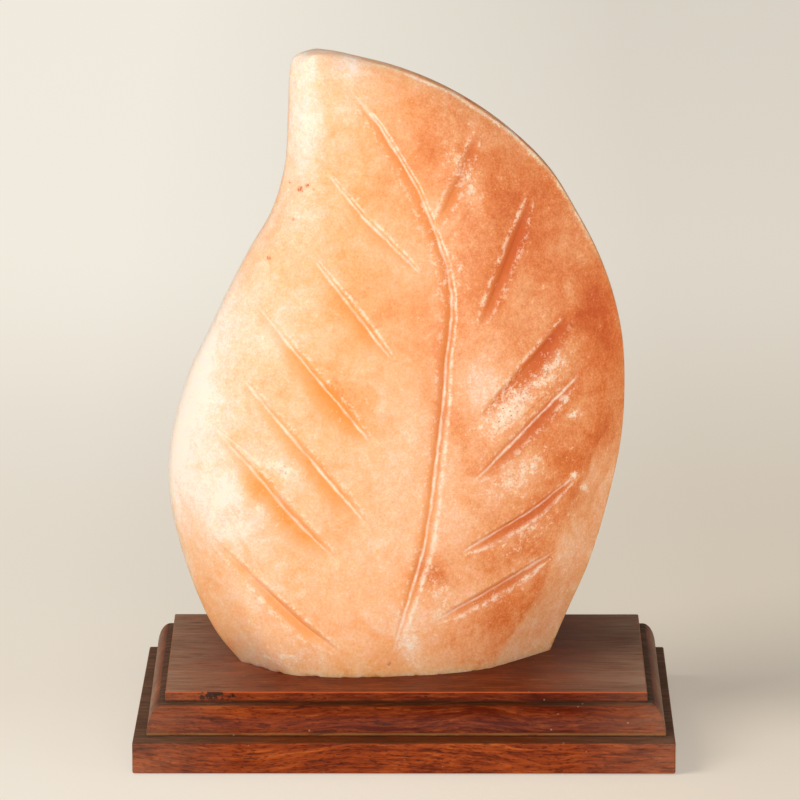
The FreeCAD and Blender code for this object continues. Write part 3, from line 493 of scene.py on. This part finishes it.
def leaf_bloom(across, up, front):
    """Paleness, redness, frost and rust of the salt: a trend across it, partly painted light, plus a sum of soft
    leaning ovals, one of them painted shade.

    The flat ground along the lower right edge is paler and less red, and the rim along the upper
    right edge is paler and frostier. The back has even random waves instead of the ovals.
    """
    fields = np.stack([np.interp(across, TREND_ACROSS, PALE_AND_LIT_TREND), np.interp(across, TREND_ACROSS, RED_AND_SHADED_TREND),
                       0 * across, 0 * across], axis=1)
    for x, z, wide, high, lean, *change in CLOUDS:
        cos, sin = math.cos(math.radians(lean)), math.sin(math.radians(lean))
        dx, dz = across - x, up - z
        near = np.exp(-((dx * cos + dz * sin) / wide) ** 2 - ((dz * cos - dx * sin) / high) ** 2)
        fields[:, :3] += (near * front)[:, None] * change
    edge = np.interp(up, *np.transpose(RIGHT_EDGE)[::-1])
    inside = edge - np.interp(up, CHAMFER_HEIGHTS, CHAMFER_WIDTHS) + 1.2 * waviness(across, up, 9, 31)
    ground = step_up(across - inside, -1.0, 3.0) * step_up(-up, -118, -85) * front
    fields[:, 0] += 0.16 * ground
    fields[:, 1] -= 0.2 * ground
    rim = np.exp(-((edge - across) / 1.3) ** 2) * front
    rim = rim * step_up(up, 165, 200) * step_up(-up, -262, -250)
    fields[:, 0] += 0.35 * rim
    fields[:, 2] += 0.45 * rim
    for x, z, size in RUST:
        fields[:, 3] += np.exp(-((across - x) ** 2 + (up - z) ** 2) / size ** 2) * front
    behind = 1 - front
    fields[:, 0] += behind * 0.3 * waviness(across, up, 34, 21)
    fields[:, 1] += behind * 0.4 * waviness(across, up, 40, 22)
    fields[:, 2] += behind * 0.6 * np.clip(waviness(across, up, 24, 23), 0, 1)
    return np.clip(fields, 0, 1.2)


# ---------------------------------------------------------------- materials

def linear(code):
    """Linear colour of an sRGB hex value."""
    parts = [int(code[i:i + 2], 16) / 255 for i in (1, 3, 5)]
    return [(c / 12.92 if c <= 0.04045 else ((c + 0.055) / 1.055) ** 2.4) for c in parts] + [1.0]


def add(tree, kind, inputs=None, out=0, stops=(), **settings):
    """Add a node with its settings, fill or link its inputs, and give back one of its outputs.

    stops are the places and colours of a colour ramp.
    """
    node = tree.nodes.new("ShaderNode" + kind)
    for name, value in settings.items():
        setattr(node, name, value)
    for index, (place, code) in enumerate(stops):
        ramp = node.color_ramp.elements
        stop = ramp[index] if index < 2 else ramp.new(place)
        stop.position = place
        stop.color = linear(code)
    for key, value in (inputs or {}).items():
        if isinstance(value, bpy.types.NodeSocket):
            tree.links.new(value, node.inputs[key])
        else:
            node.inputs[key].default_value = value
    return node.outputs[out] if node.outputs else node


def new_material(name):
    """Empty node material and its tree."""
    material = bpy.data.materials.new(name)
    material.use_nodes = True
    material.node_tree.nodes.clear()
    return material, material.node_tree


def make_salt():
    """Rock salt, hand carved and rubbed smooth: cloudy orange to milky pink, sugary skin, satin gloss."""
    material, tree = new_material("rock_salt_carved")
    place = add(tree, "TexCoord", out="Object")
    bloom = add(tree, "Attribute", attribute_name="bloom", out="Color")
    pale = add(tree, "SeparateColor", {0: bloom}, out=0)
    red = add(tree, "SeparateColor", {0: bloom}, out=1)
    frosty = add(tree, "SeparateColor", {0: bloom}, out=2)
    rust = add(tree, "Attribute", attribute_name="bloom", out="Alpha")
    cut = add(tree, "Attribute", attribute_name="cut", out="Vector")
    q = add(tree, "SeparateXYZ", {0: cut}, out="X")
    off = add(tree, "SeparateXYZ", {0: cut}, out="Y")
    lines = add(tree, "Attribute", attribute_name="cut_lines", out="Color")
    deep = add(tree, "SeparateColor", {0: lines}, out=0)
    bottom = add(tree, "SeparateColor", {0: lines}, out=1)
    top = add(tree, "SeparateColor", {0: lines}, out=2)
    lip = add(tree, "Attribute", attribute_name="cut_lines", out="Alpha")

    clouds = add(tree, "TexNoise", {
        "Vector": place, "Scale": 70.0, "Detail": 5.0, "Roughness": 0.6, "Distortion": 0.8})
    mottle = add(tree, "TexNoise", {"Vector": place, "Scale": 330.0, "Detail": 4.0, "Roughness": 0.65})
    sugar = add(tree, "TexNoise", {"Vector": place, "Scale": 1100.0, "Detail": 3.0, "Roughness": 0.7})

    # painted shade: the scoop of each cut is painted a deeper, clearer orange, strongest near its bottom, for the shade
    # in the groove
    slope = add(tree, "MapRange", {"Value": q, "From Min": 1.8, "From Max": 0.1}, interpolation_type="SMOOTHSTEP")
    wall = add(tree, "MapRange", {"Value": q, "From Min": -1.1, "From Max": -0.1})
    scoop_shade = add(tree, "Math", {0: slope, 1: wall}, operation="MULTIPLY")
    scoop_shade = add(tree, "Math", {0: scoop_shade, 1: deep}, operation="MULTIPLY")

    # pale to deep: the leaf's own fields, clouds of 14 mm, mottling of 3 mm and sugary grain
    shade = add(tree, "Math", {0: clouds, 1: 0.8, 2: pale}, operation="MULTIPLY_ADD")
    shade = add(tree, "Math", {0: mottle, 1: 0.45, 2: shade}, operation="MULTIPLY_ADD")
    shade = add(tree, "Math", {0: sugar, 1: 0.75, 2: shade}, operation="MULTIPLY_ADD")
    shade = add(tree, "Math", {0: shade, 1: 1.0}, operation="SUBTRACT")
    honey = add(tree, "ValToRGB", {"Fac": shade}, stops=(
        (0.0, "#eb8e3e"), (1.0, "#fdebe1"), (0.3, "#f7b177"), (0.6, "#fac9a2"), (0.8, "#fbdac4")))
    coral = add(tree, "ValToRGB", {"Fac": shade}, stops=(
        (0.0, "#c8591f"), (1.0, "#fbe0ce"), (0.3, "#de8043"), (0.6, "#eeab7a")))
    body = add(tree, "Mix", {0: red, 6: honey, 7: coral}, out=2, data_type="RGBA")
    # painted shade colour of the scoops
    scoop_shade_colour = add(tree, "Mix", {0: red, 6: linear("#f09a40"), 7: linear("#cb5819")}, out=2, data_type="RGBA")
    uneven = add(tree, "MapRange", {"Value": mottle, "From Min": 0.3, "From Max": 0.7, "To Min": 0.8, "To Max": 1.25})
    scoop_shade = add(tree, "Math", {0: scoop_shade, 1: uneven}, operation="MULTIPLY", use_clamp=True)
    body = add(tree, "Mix", {0: scoop_shade, 6: body, 7: scoop_shade_colour}, out=2, data_type="RGBA")

    # frosted lines: the bottom of each cut, the top of its wall and the lip of its slope
    broken = add(tree, "Math", {0: sugar, 1: 0.6, 2: mottle}, operation="MULTIPLY_ADD")
    broken = add(tree, "MapRange", {"Value": broken, "From Min": 0.74, "From Max": 0.88})
    wobble = add(tree, "TexNoise", {"Vector": place, "Scale": 210.0, "Detail": 3.0})
    gaps = add(tree, "TexNoise", {"Vector": place, "Scale": 95.0, "Detail": 1.0})
    wide = add(tree, "MapRange", {"Value": gaps, "From Min": 0.35, "From Max": 0.65, "To Min": 0.3, "To Max": 0.75})
    bent = add(tree, "Math", {0: wobble, 1: 1.2, 2: off}, operation="MULTIPLY_ADD")
    near = add(tree, "Math", {0: bent, 1: 0.6}, operation="SUBTRACT")
    near = add(tree, "Math", {0: near}, operation="ABSOLUTE")
    near = add(tree, "Math", {0: wide, 1: near}, operation="SUBTRACT")
    near = add(tree, "MapRange", {"Value": near, "From Min": -0.35, "From Max": 0.5})
    kept = add(tree, "MapRange", {"Value": broken, "To Min": 0.6})
    frost = add(tree, "Math", {0: near, 1: bottom}, operation="MULTIPLY")
    frost = add(tree, "Math", {0: frost, 1: kept}, operation="MULTIPLY")
    bent = add(tree, "Math", {0: wobble, 1: 0.5, 2: q}, operation="MULTIPLY_ADD")
    for centre, half, strength in ((-1.0, 0.4, top), (1.0, 0.3, lip)):
        near = add(tree, "Math", {0: bent, 1: centre + 0.25}, operation="SUBTRACT")
        near = add(tree, "Math", {0: near}, operation="ABSOLUTE")
        reach = add(tree, "Math", {0: wide, 1: half}, operation="MULTIPLY")
        near = add(tree, "Math", {0: reach, 1: near}, operation="SUBTRACT")
        near = add(tree, "MapRange", {"Value": near, "From Min": -0.25, "From Max": 0.25})
        kept = add(tree, "Math", {0: strength, 1: 1.0}, operation="SUBTRACT")
        kept = add(tree, "Math", {0: kept, 1: broken}, use_clamp=True)
        near = add(tree, "Math", {0: near, 1: kept}, operation="MULTIPLY")
        frost = add(tree, "Math", {0: frost, 1: near}, operation="MAXIMUM")

    # frosty skin: white crumbs of 1 mm that close up to a crust where the frost is strong
    crumbs = add(tree, "Math", {0: sugar, 1: 0.5, 2: mottle}, operation="MULTIPLY_ADD")
    crumbs = add(tree, "Math", {0: frosty, 1: 0.42, 2: crumbs}, operation="MULTIPLY_ADD")
    crumbs = add(tree, "MapRange", {"Value": crumbs, "From Min": 0.92, "From Max": 1.16})
    frost = add(tree, "Math", {0: frost, 1: crumbs}, operation="MAXIMUM")
    frost = add(tree, "Math", {0: frost, 1: 0.9}, operation="MULTIPLY")
    body = add(tree, "Mix", {0: frost, 6: body, 7: linear("#fdead6")}, out=2, data_type="RGBA")

    # pits in the frosty skin, 0.6 mm across, and rusty grains
    pits = add(tree, "TexVoronoi", {"Vector": place, "Scale": 650.0}, out="Distance")
    pits = add(tree, "MapRange", {"Value": pits, "From Min": 0.3, "From Max": 0.12})
    pitted = add(tree, "MapRange", {"Value": frosty, "From Min": 0.35, "From Max": 0.7})
    pitted = add(tree, "Math", {0: pits, 1: pitted}, operation="MULTIPLY")
    body = add(tree, "Mix", {0: pitted, 6: body, 7: linear("#c58f62")}, out=2, data_type="RGBA")
    grains = add(tree, "Math", {0: rust, 1: sugar}, operation="MULTIPLY")
    grains = add(tree, "MapRange", {"Value": grains, "From Min": 0.33, "From Max": 0.5, "To Max": 0.85})
    body = add(tree, "Mix", {0: grains, 6: body, 7: linear("#c8590f")}, out=2, data_type="RGBA")

    skin = add(tree, "Math", {0: sugar, 1: 0.25}, operation="MULTIPLY")
    skin = add(tree, "Math", {0: mottle, 1: 0.8, 2: skin}, operation="MULTIPLY_ADD")
    skin = add(tree, "Math", {0: pitted, 1: -0.6, 2: skin}, operation="MULTIPLY_ADD")
    bump = add(tree, "Bump", {"Height": skin, "Strength": 0.5, "Distance": 0.0006})
    rough = add(tree, "MapRange", {"Value": mottle, "From Min": 0.3, "From Max": 0.7, "To Min": 0.38, "To Max": 0.6})
    through = add(tree, "MapRange", {"Value": frost, "To Min": 0.6, "To Max": 0.1})
    shader = add(tree, "BsdfPrincipled", {
        "Base Color": body, "Roughness": rough, "IOR": 1.54, "Specular IOR Level": 0.3, "Normal": bump,
        "Subsurface Weight": through, "Subsurface Radius": (1.0, 0.4, 0.15), "Subsurface Scale": 0.012,
    })
    add(tree, "OutputMaterial", {"Surface": shader})
    return material


def make_rosewood():
    """Rosewood, stained and varnished: orange-red with dark dashes of grain, satin in front, dusty on top; with painted
    light: a highlight on the upper arris, sheen and fill in the dust film, and shade at the ledges.
    """
    material, tree = new_material("rosewood_varnished")
    place = add(tree, "TexCoord", out="Object")
    normal = add(tree, "TexCoord", out="Normal")
    across = add(tree, "SeparateXYZ", {0: place}, out="X")
    height = add(tree, "SeparateXYZ", {0: place}, out="Z")
    upward = add(tree, "SeparateXYZ", {0: normal}, out="Z")
    sideways = add(tree, "SeparateXYZ", {0: normal}, out="X")
    sideways = add(tree, "Math", {0: sideways}, operation="ABSOLUTE")

    # the grain wanders up and down by a few millimetres along the board
    wander = add(tree, "TexNoise", {"Vector": place, "Scale": 14.0, "Detail": 1.0}, out="Color")
    wander = add(tree, "VectorMath", {0: wander, 1: (0.5, 0.5, 0.5)}, operation="SUBTRACT")
    wander = add(tree, "VectorMath", {0: wander, 1: (0.0, 0.012, 0.014)}, operation="MULTIPLY")
    bent = add(tree, "VectorMath", {0: place, 1: wander})
    noises = []
    for scale, detail in (
        ((14.0, 60.0, 60.0), 2.0), ((60.0, 900.0, 900.0), 4.0),
        ((300.0, 1500.0, 1500.0), 2.0), ((60.0, 500.0, 500.0), 4.0),
    ):
        stretched = add(tree, "Mapping", {"Vector": bent, "Scale": scale})
        noises.append(add(tree, "TexNoise", {"Vector": stretched, "Scale": 1.0, "Detail": detail, "Roughness": 0.6}))
    figure, grain, pores, streaks = noises

    # heartwood from dark red brown to orange, dashes 4 mm long, and smoky streaks 15 mm long
    tone = add(tree, "Math", {0: figure, 1: 0.55}, operation="MULTIPLY")
    tone = add(tree, "Math", {0: grain, 1: 0.6, 2: tone}, operation="MULTIPLY_ADD")
    wood = add(tree, "ValToRGB", {"Fac": tone}, stops=(
        (0.40, "#511e10"), (0.74, "#b45c28"), (0.5, "#762e13"), (0.62, "#954119")))
    dash = add(tree, "MapRange", {"Value": pores, "From Min": 0.47, "From Max": 0.36, "To Max": 0.6})
    wood = add(tree, "Mix", {0: dash, 6: wood, 7: linear("#34100a")}, out=2, data_type="RGBA")
    smoke = add(tree, "MapRange", {"Value": streaks, "From Min": 0.45, "From Max": 0.32, "To Max": 0.65})
    wood = add(tree, "Mix", {0: smoke, 6: wood, 7: linear("#2b130e")}, out=2, data_type="RGBA")

    # the moulding is stained darker towards the middle and right of its front
    stain = add(tree, "Math", {0: across, 1: 0.035}, operation="SUBTRACT")
    stain = add(tree, "Math", {0: stain}, operation="ABSOLUTE")
    stain = add(tree, "MapRange", {"Value": stain, "From Min": 0.11, "From Max": 0.02, "To Min": 0.25, "To Max": 0.9},
                interpolation_type="SMOOTHSTEP")
    moulding = add(tree, "MapRange", {"Value": height, "From Min": 0.0138, "From Max": 0.015})
    stain = add(tree, "Math", {0: stain, 1: moulding}, operation="MULTIPLY")
    soaked = add(tree, "MapRange", {"Value": streaks, "From Min": 0.3, "From Max": 0.6})
    stain = add(tree, "Math", {0: stain, 1: soaked}, operation="MULTIPLY")
    wood = add(tree, "Mix", {0: stain, 6: wood, 7: linear("#4a1002")}, out=2, data_type="RGBA")

    # worn arris with a painted highlight: bare orange wood along the upper edge, which also stands in for the light the
    # rounded arris catches, and black marks where the stain is chipped
    arris_wear_and_highlight = add(tree, "MapRange", {"Value": height, "From Min": 0.0305, "From Max": 0.0309})
    level = add(tree, "MapRange", {"Value": upward, "From Min": 0.95, "From Max": 0.7})
    arris_wear_and_highlight = add(tree, "Math", {0: arris_wear_and_highlight, 1: level}, operation="MULTIPLY")
    arris_wear_and_highlight = add(tree, "Math", {0: arris_wear_and_highlight, 1: 0.7}, operation="MULTIPLY")
    wood = add(tree, "Mix", {0: arris_wear_and_highlight, 6: wood, 7: linear("#c25a30")}, out=2, data_type="RGBA")
    chipped = add(tree, "TexNoise", {"Vector": place, "Scale": 520.0, "Detail": 3.0})
    zone = add(tree, "Math", {0: across, 1: -0.081}, operation="SUBTRACT")
    zone = add(tree, "Math", {0: zone}, operation="ABSOLUTE")
    zone = add(tree, "MapRange", {"Value": zone, "From Min": 0.014, "From Max": 0.004, "To Max": 0.3})
    edge = add(tree, "MapRange", {"Value": height, "From Min": 0.0265, "From Max": 0.0285})
    below = add(tree, "MapRange", {"Value": upward, "From Min": 0.9, "From Max": 0.5})
    zone = add(tree, "Math", {0: zone, 1: chipped})
    chips = add(tree, "MapRange", {"Value": zone, "From Min": 0.68, "From Max": 0.76, "To Max": 0.9})
    chips = add(tree, "Math", {0: chips, 1: edge}, operation="MULTIPLY")
    chips = add(tree, "Math", {0: chips, 1: below}, operation="MULTIPLY")
    wood = add(tree, "Mix", {0: chips, 6: wood, 7: linear("#181312")}, out=2, data_type="RGBA")

    # dust with painted light: a grey film on top towards its ends, on the end faces and at the ends of the front;
    # painted shade and a pale line at the ledges below
    dust_and_painted_light = add(tree, "MapRange", {"Value": upward, "From Min": 0.75, "From Max": 1.0})
    outwards = add(tree, "Math", {0: across}, operation="ABSOLUTE")
    # painted light: the film on the top's ends also lifts the top's right end, where the leaf's shadow falls
    top_ends_dusty_and_lit = add(tree, "MapRange", {"Value": outwards, "From Min": 0.05, "From Max": 0.105, "To Max": 0.6})
    dust_and_painted_light = add(tree, "Math", {0: dust_and_painted_light, 1: top_ends_dusty_and_lit}, operation="MULTIPLY")
    # painted sheen: the film on the end faces also stands in for the pale sheen they catch at a grazing angle
    ends = add(tree, "MapRange", {"Value": sideways, "From Min": 0.6, "From Max": 1.0, "To Max": 0.65})
    dust_and_painted_light = add(tree, "Math", {0: dust_and_painted_light, 1: ends}, operation="MAXIMUM")
    corners = add(tree, "MapRange", {"Value": outwards, "From Min": 0.07, "From Max": 0.11, "To Max": 0.16})
    dust_and_painted_light = add(tree, "Math", {0: dust_and_painted_light, 1: corners}, operation="MAXIMUM")
    cloudy = add(tree, "Math", {0: dust_and_painted_light, 1: figure}, operation="MULTIPLY")
    dust_and_painted_light = add(tree, "Math", {0: dust_and_painted_light, 1: 0.75, 2: cloudy}, operation="MULTIPLY_ADD")
    streaky = add(tree, "MapRange", {"Value": streaks, "From Min": 0.3, "From Max": 0.65, "To Min": 0.5, "To Max": 1.3})
    dust_and_painted_light = add(tree, "Math", {0: dust_and_painted_light, 1: streaky}, operation="MULTIPLY")
    wood = add(tree, "Mix", {0: dust_and_painted_light, 6: wood, 7: linear("#a08772")}, out=2, data_type="RGBA")
    patchy = add(tree, "MapRange", {"Value": streaks, "From Min": 0.35, "From Max": 0.55, "To Min": 0.4})
    # painted shade: the ledge at the top of the moulding and the plinth's top beside the upper board are darkened as if
    # shaded; a pale ochre line runs at the foot of the moulding
    for level, reach, code, most in (
        (LEDGE * MM, 0.0010, "#33200f", 0.8),
        ((PLINTH_TOP + 1) * MM, 0.0006, "#8c6a3c", 0.7),
        (PLINTH_TOP * MM, 0.0005, "#4a2c18", 0.8),
    ):
        corner = add(tree, "Math", {0: height, 1: level}, operation="SUBTRACT")
        corner = add(tree, "Math", {0: corner}, operation="ABSOLUTE")
        corner = add(tree, "MapRange", {"Value": corner, "From Min": reach, "From Max": reach * 0.4, "To Max": most})
        corner = add(tree, "Math", {0: corner, 1: patchy}, operation="MULTIPLY")
        wood = add(tree, "Mix", {0: corner, 6: wood, 7: linear(code)}, out=2, data_type="RGBA")
    specks = add(tree, "TexVoronoi", {"Vector": place, "Scale": 130.0}, out="Distance")
    specks = add(tree, "MapRange", {"Value": specks, "From Min": 0.07, "From Max": 0.03, "To Max": 0.6})
    wood = add(tree, "Mix", {0: specks, 6: wood, 7: linear("#a58d78")}, out=2, data_type="RGBA")

    rough = add(tree, "MapRange", {"Value": dust_and_painted_light, "From Max": 0.5, "To Min": 0.38, "To Max": 0.6})
    bump = add(tree, "Bump", {"Height": grain, "Strength": 0.35, "Distance": 0.0003})
    shader = add(tree, "BsdfPrincipled", {
        "Base Color": wood, "Roughness": rough, "IOR": 1.5, "Specular IOR Level": 0.07, "Normal": bump,
    })
    add(tree, "OutputMaterial", {"Surface": shader})
    return material


def make_worked(name, tones, scale, rough, relief, **settings):
    """Worked surface: two tones, two degrees of roughness and a relief that follow one fine noise.

    scale is the noise's repeats per metre along each axis, and relief its height in metres.
    """
    material, tree = new_material(name)
    place = add(tree, "TexCoord", out="Object")
    place = add(tree, "Mapping", {"Vector": place, "Scale": scale})
    grain = add(tree, "TexNoise", {"Vector": place, "Scale": 1.0, "Detail": 3.0, "Roughness": 0.6})
    tone = add(tree, "ValToRGB", {"Fac": grain}, stops=((0.35, tones[0]), (0.65, tones[1])))
    rough = add(tree, "MapRange", {"Value": grain, "From Min": 0.3, "From Max": 0.7,
                                   "To Min": rough[0], "To Max": rough[1]})
    bump = add(tree, "Bump", {"Height": grain, "Strength": 0.5, "Distance": relief})
    shader = add(tree, "BsdfPrincipled", {"Base Color": tone, "Roughness": rough, "Normal": bump})
    for socket, value in settings.items():
        shader.node.inputs[socket.replace("_", " ")].default_value = value
    add(tree, "OutputMaterial", {"Surface": shader})
    return material


def make_fittings():
    """Materials of the screws, feet, lampholder and bulb, by the slot they fill."""
    return {
        # zinc plated and passivated: pale bluish grey with a soft bloom of 1 mm
        "zinc_plated_steel": make_worked("zinc_plate_passivated", ("#a8acb2", "#c6cacd"), (900, 900, 900),
                                         (0.26, 0.42), 0.00002, Metallic=1.0),
        # hardened and tempered strip: straw to blue-grey, rolled streaks along its length
        "spring_steel": make_worked("spring_steel_tempered", ("#6c7078", "#989790"), (1800, 1800, 90),
                                    (0.28, 0.46), 0.00001, Metallic=1.0),
        # deep-drawn and nickel plated: warm silver, drawn streaks along the shell
        "nickel_plated_brass": make_worked("nickel_plate_drawn", ("#b4ac9e", "#cfc9bd"), (1400, 1400, 200),
                                           (0.16, 0.3), 0.00001, Metallic=1.0),
        # stamped brass: yellow, a little tarnished in blotches of 2 mm
        "brass": make_worked("brass_stamped", ("#a87c35", "#d3ab58"), (500, 500, 500),
                             (0.24, 0.42), 0.00001, Metallic=1.0),
        # drawn nickel wire: warm grey satin
        "nickel_wire": make_worked("nickel_wire_drawn", ("#948d83", "#b3aca1"), (1500, 1500, 300),
                                   (0.3, 0.42), 0.000005, Metallic=1.0),
        # coiled tungsten: dark grey, sooty
        "tungsten": make_worked("tungsten_coiled", ("#45423f", "#6d6964"), (2500, 2500, 2500),
                                (0.4, 0.55), 0.000005, Metallic=1.0),
        # tin solder: dull silver, frozen in small ripples
        "solder": make_worked("solder_frozen", ("#96989a", "#bcbdbe"), (1300, 1300, 1300),
                              (0.3, 0.5), 0.00006, Metallic=1.0),
        # phenolic, moulded in a polished steel mould: black-brown with a faint flow mottle
        "phenolic": make_worked("phenolic_moulded", ("#17110e", "#2b1d16"), (260, 260, 120),
                                (0.24, 0.4), 0.00002, IOR=1.6),
        # glazed porcelain: warm white, glassy, the glaze a little wavy
        "porcelain": make_worked("porcelain_glazed", ("#e9e2d2", "#f4efe3"), (300, 300, 300),
                                 (0.1, 0.2), 0.00003, IOR=1.54),
        # natural nylon: milky, waxy, lets some light in
        "nylon": make_worked("nylon_natural", ("#d6d0c0", "#e6e1d3"), (700, 700, 700), (0.38, 0.52), 0.00002,
                             IOR=1.53, Subsurface_Weight=0.3, Subsurface_Scale=0.002),
        # moulded black rubber: dull, fine grained, greyish on the worn high spots
        "rubber": make_worked("rubber_moulded", ("#161514", "#2f2c2a"), (1600, 1600, 1600),
                              (0.62, 0.85), 0.00005, IOR=1.52),
        # black glass: deep violet-black and glossy
        "black_glass": make_worked("glass_black", ("#0d0b10", "#1a1520"), (400, 400, 400),
                                   (0.05, 0.14), 0.00001, IOR=1.52),
        # blown clear glass: colourless, a trace of haze where it was handled
        "bulb_glass": make_worked("glass_blown", ("#f4f8f6", "#ffffff"), (120, 120, 120), (0.01, 0.07), 0.00001,
                                  IOR=1.52, Transmission_Weight=1.0),
    }


def dress(names, material):
    """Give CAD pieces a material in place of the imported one."""
    for name in names:
        mesh = frame["nodes"][name].data
        mesh.materials.clear()
        mesh.materials.append(material)


# ---------------------------------------------------------------- studio

def make_camera():
    """Long lens, a little above the lamp and straight in front of it."""
    lens = bpy.data.cameras.new("camera")
    lens.lens = 321.4
    lens.sensor_width = 36.0
    lens.clip_end = 50.0
    camera = bpy.data.objects.new("camera", lens)
    camera.location = (0.00364, -2.95445, 0.84995)
    camera.rotation_euler = (math.radians(76.553), 0.0, 0.00183)
    bpy.context.scene.collection.objects.link(camera)
    bpy.context.scene.camera = camera


def make_lamp(name, place, aim, size, power, colour):
    """Square soft light that faces a point."""
    light = bpy.data.lights.new(name, "AREA")
    light.size = size
    light.energy = power
    light.color = linear(colour)[:3]
    lamp = bpy.data.objects.new(name, light)
    lamp.location = place
    away = np.array(place) - np.array(aim)
    flat = math.hypot(away[0], away[1])
    lamp.rotation_euler = (math.atan2(flat, away[2]), 0, math.atan2(away[0], -away[1]))
    bpy.context.scene.collection.objects.link(lamp)


def make_studio():
    """Pale paper floor, brighter behind and to the left by a painted glow that only the camera sees, a soft key light,
    a front light and a weak side light.
    """
    size = 12.0
    points = np.array([[-size, -size, 0], [size, -size, 0], [size, size, 0], [-size, size, 0]], float)
    floor = make_mesh("floor", points, np.array([[0, 1, 2], [0, 2, 3]]))
    material, tree = new_material("paper_sweep")
    place = add(tree, "TexCoord", out="Object")
    across = add(tree, "SeparateXYZ", {0: place}, out="X")
    back = add(tree, "SeparateXYZ", {0: place}, out="Y")
    paper = add(tree, "BsdfDiffuse", {"Color": linear("#f3e6d4")})
    glow = add(tree, "Emission", {"Color": linear("#f6f0e4"), "Strength": 1.0})
    # painted light: the camera sees a glow in place of the lit paper, more of it far behind, just in front of the lamp
    # and to the left, standing in for the fall of the studio light
    behind = add(tree, "MapRange", {"Value": back, "From Min": 0.15, "From Max": 1.0, "To Min": 0.2, "To Max": 0.62},
                 interpolation_type="SMOOTHSTEP")
    before = add(tree, "MapRange", {"Value": back, "From Min": 0.05, "From Max": -0.1, "To Max": 0.15})
    beside = add(tree, "MapRange", {"Value": across, "From Min": 0.14, "From Max": -0.16, "To Max": 0.3})
    share = add(tree, "Math", {0: behind, 1: before})
    share = add(tree, "Math", {0: share, 1: beside})
    path = add(tree, "LightPath", out="Is Camera Ray")
    share = add(tree, "Math", {0: share, 1: path}, operation="MULTIPLY")
    shader = add(tree, "MixShader", {0: share, 1: paper, 2: glow})
    add(tree, "OutputMaterial", {"Surface": shader})
    floor.data.materials.append(material)
    make_lamp("key_light", (-1.6, -0.75, 1.55), (0, 0, 0.15), 1.2, 33.0, "#fffaf2")
    make_lamp("front_light", (0.5, -2.7, 0.5), (0, 0, 0.15), 1.3, 46.0, "#fffaf2")
    make_lamp("side_light", (1.9, -0.9, 0.7), (0, 0, 0.1), 0.8, 7.0, "#fffaf2")
    world = bpy.data.worlds.new("studio")
    world.use_nodes = True
    world.node_tree.nodes["Background"].inputs["Color"].default_value = linear("#fffaf2")
    world.node_tree.nodes["Background"].inputs["Strength"].default_value = 0.2
    bpy.context.scene.world = world
    bpy.context.scene.view_settings.view_transform = "Standard"


make_camera()
make_studio()

leaf = make_salt_leaf()
leaf.data.materials.append(make_salt())
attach(leaf, "base")
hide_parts("salt_leaf")

dress(["upper_board", "plinth_board"], make_rosewood())
fittings = make_fittings()
for part in frame["record"]["subparts"]:
    if part["material_slot"] in fittings:
        dress([part["node"]], fittings[part["material_slot"]])
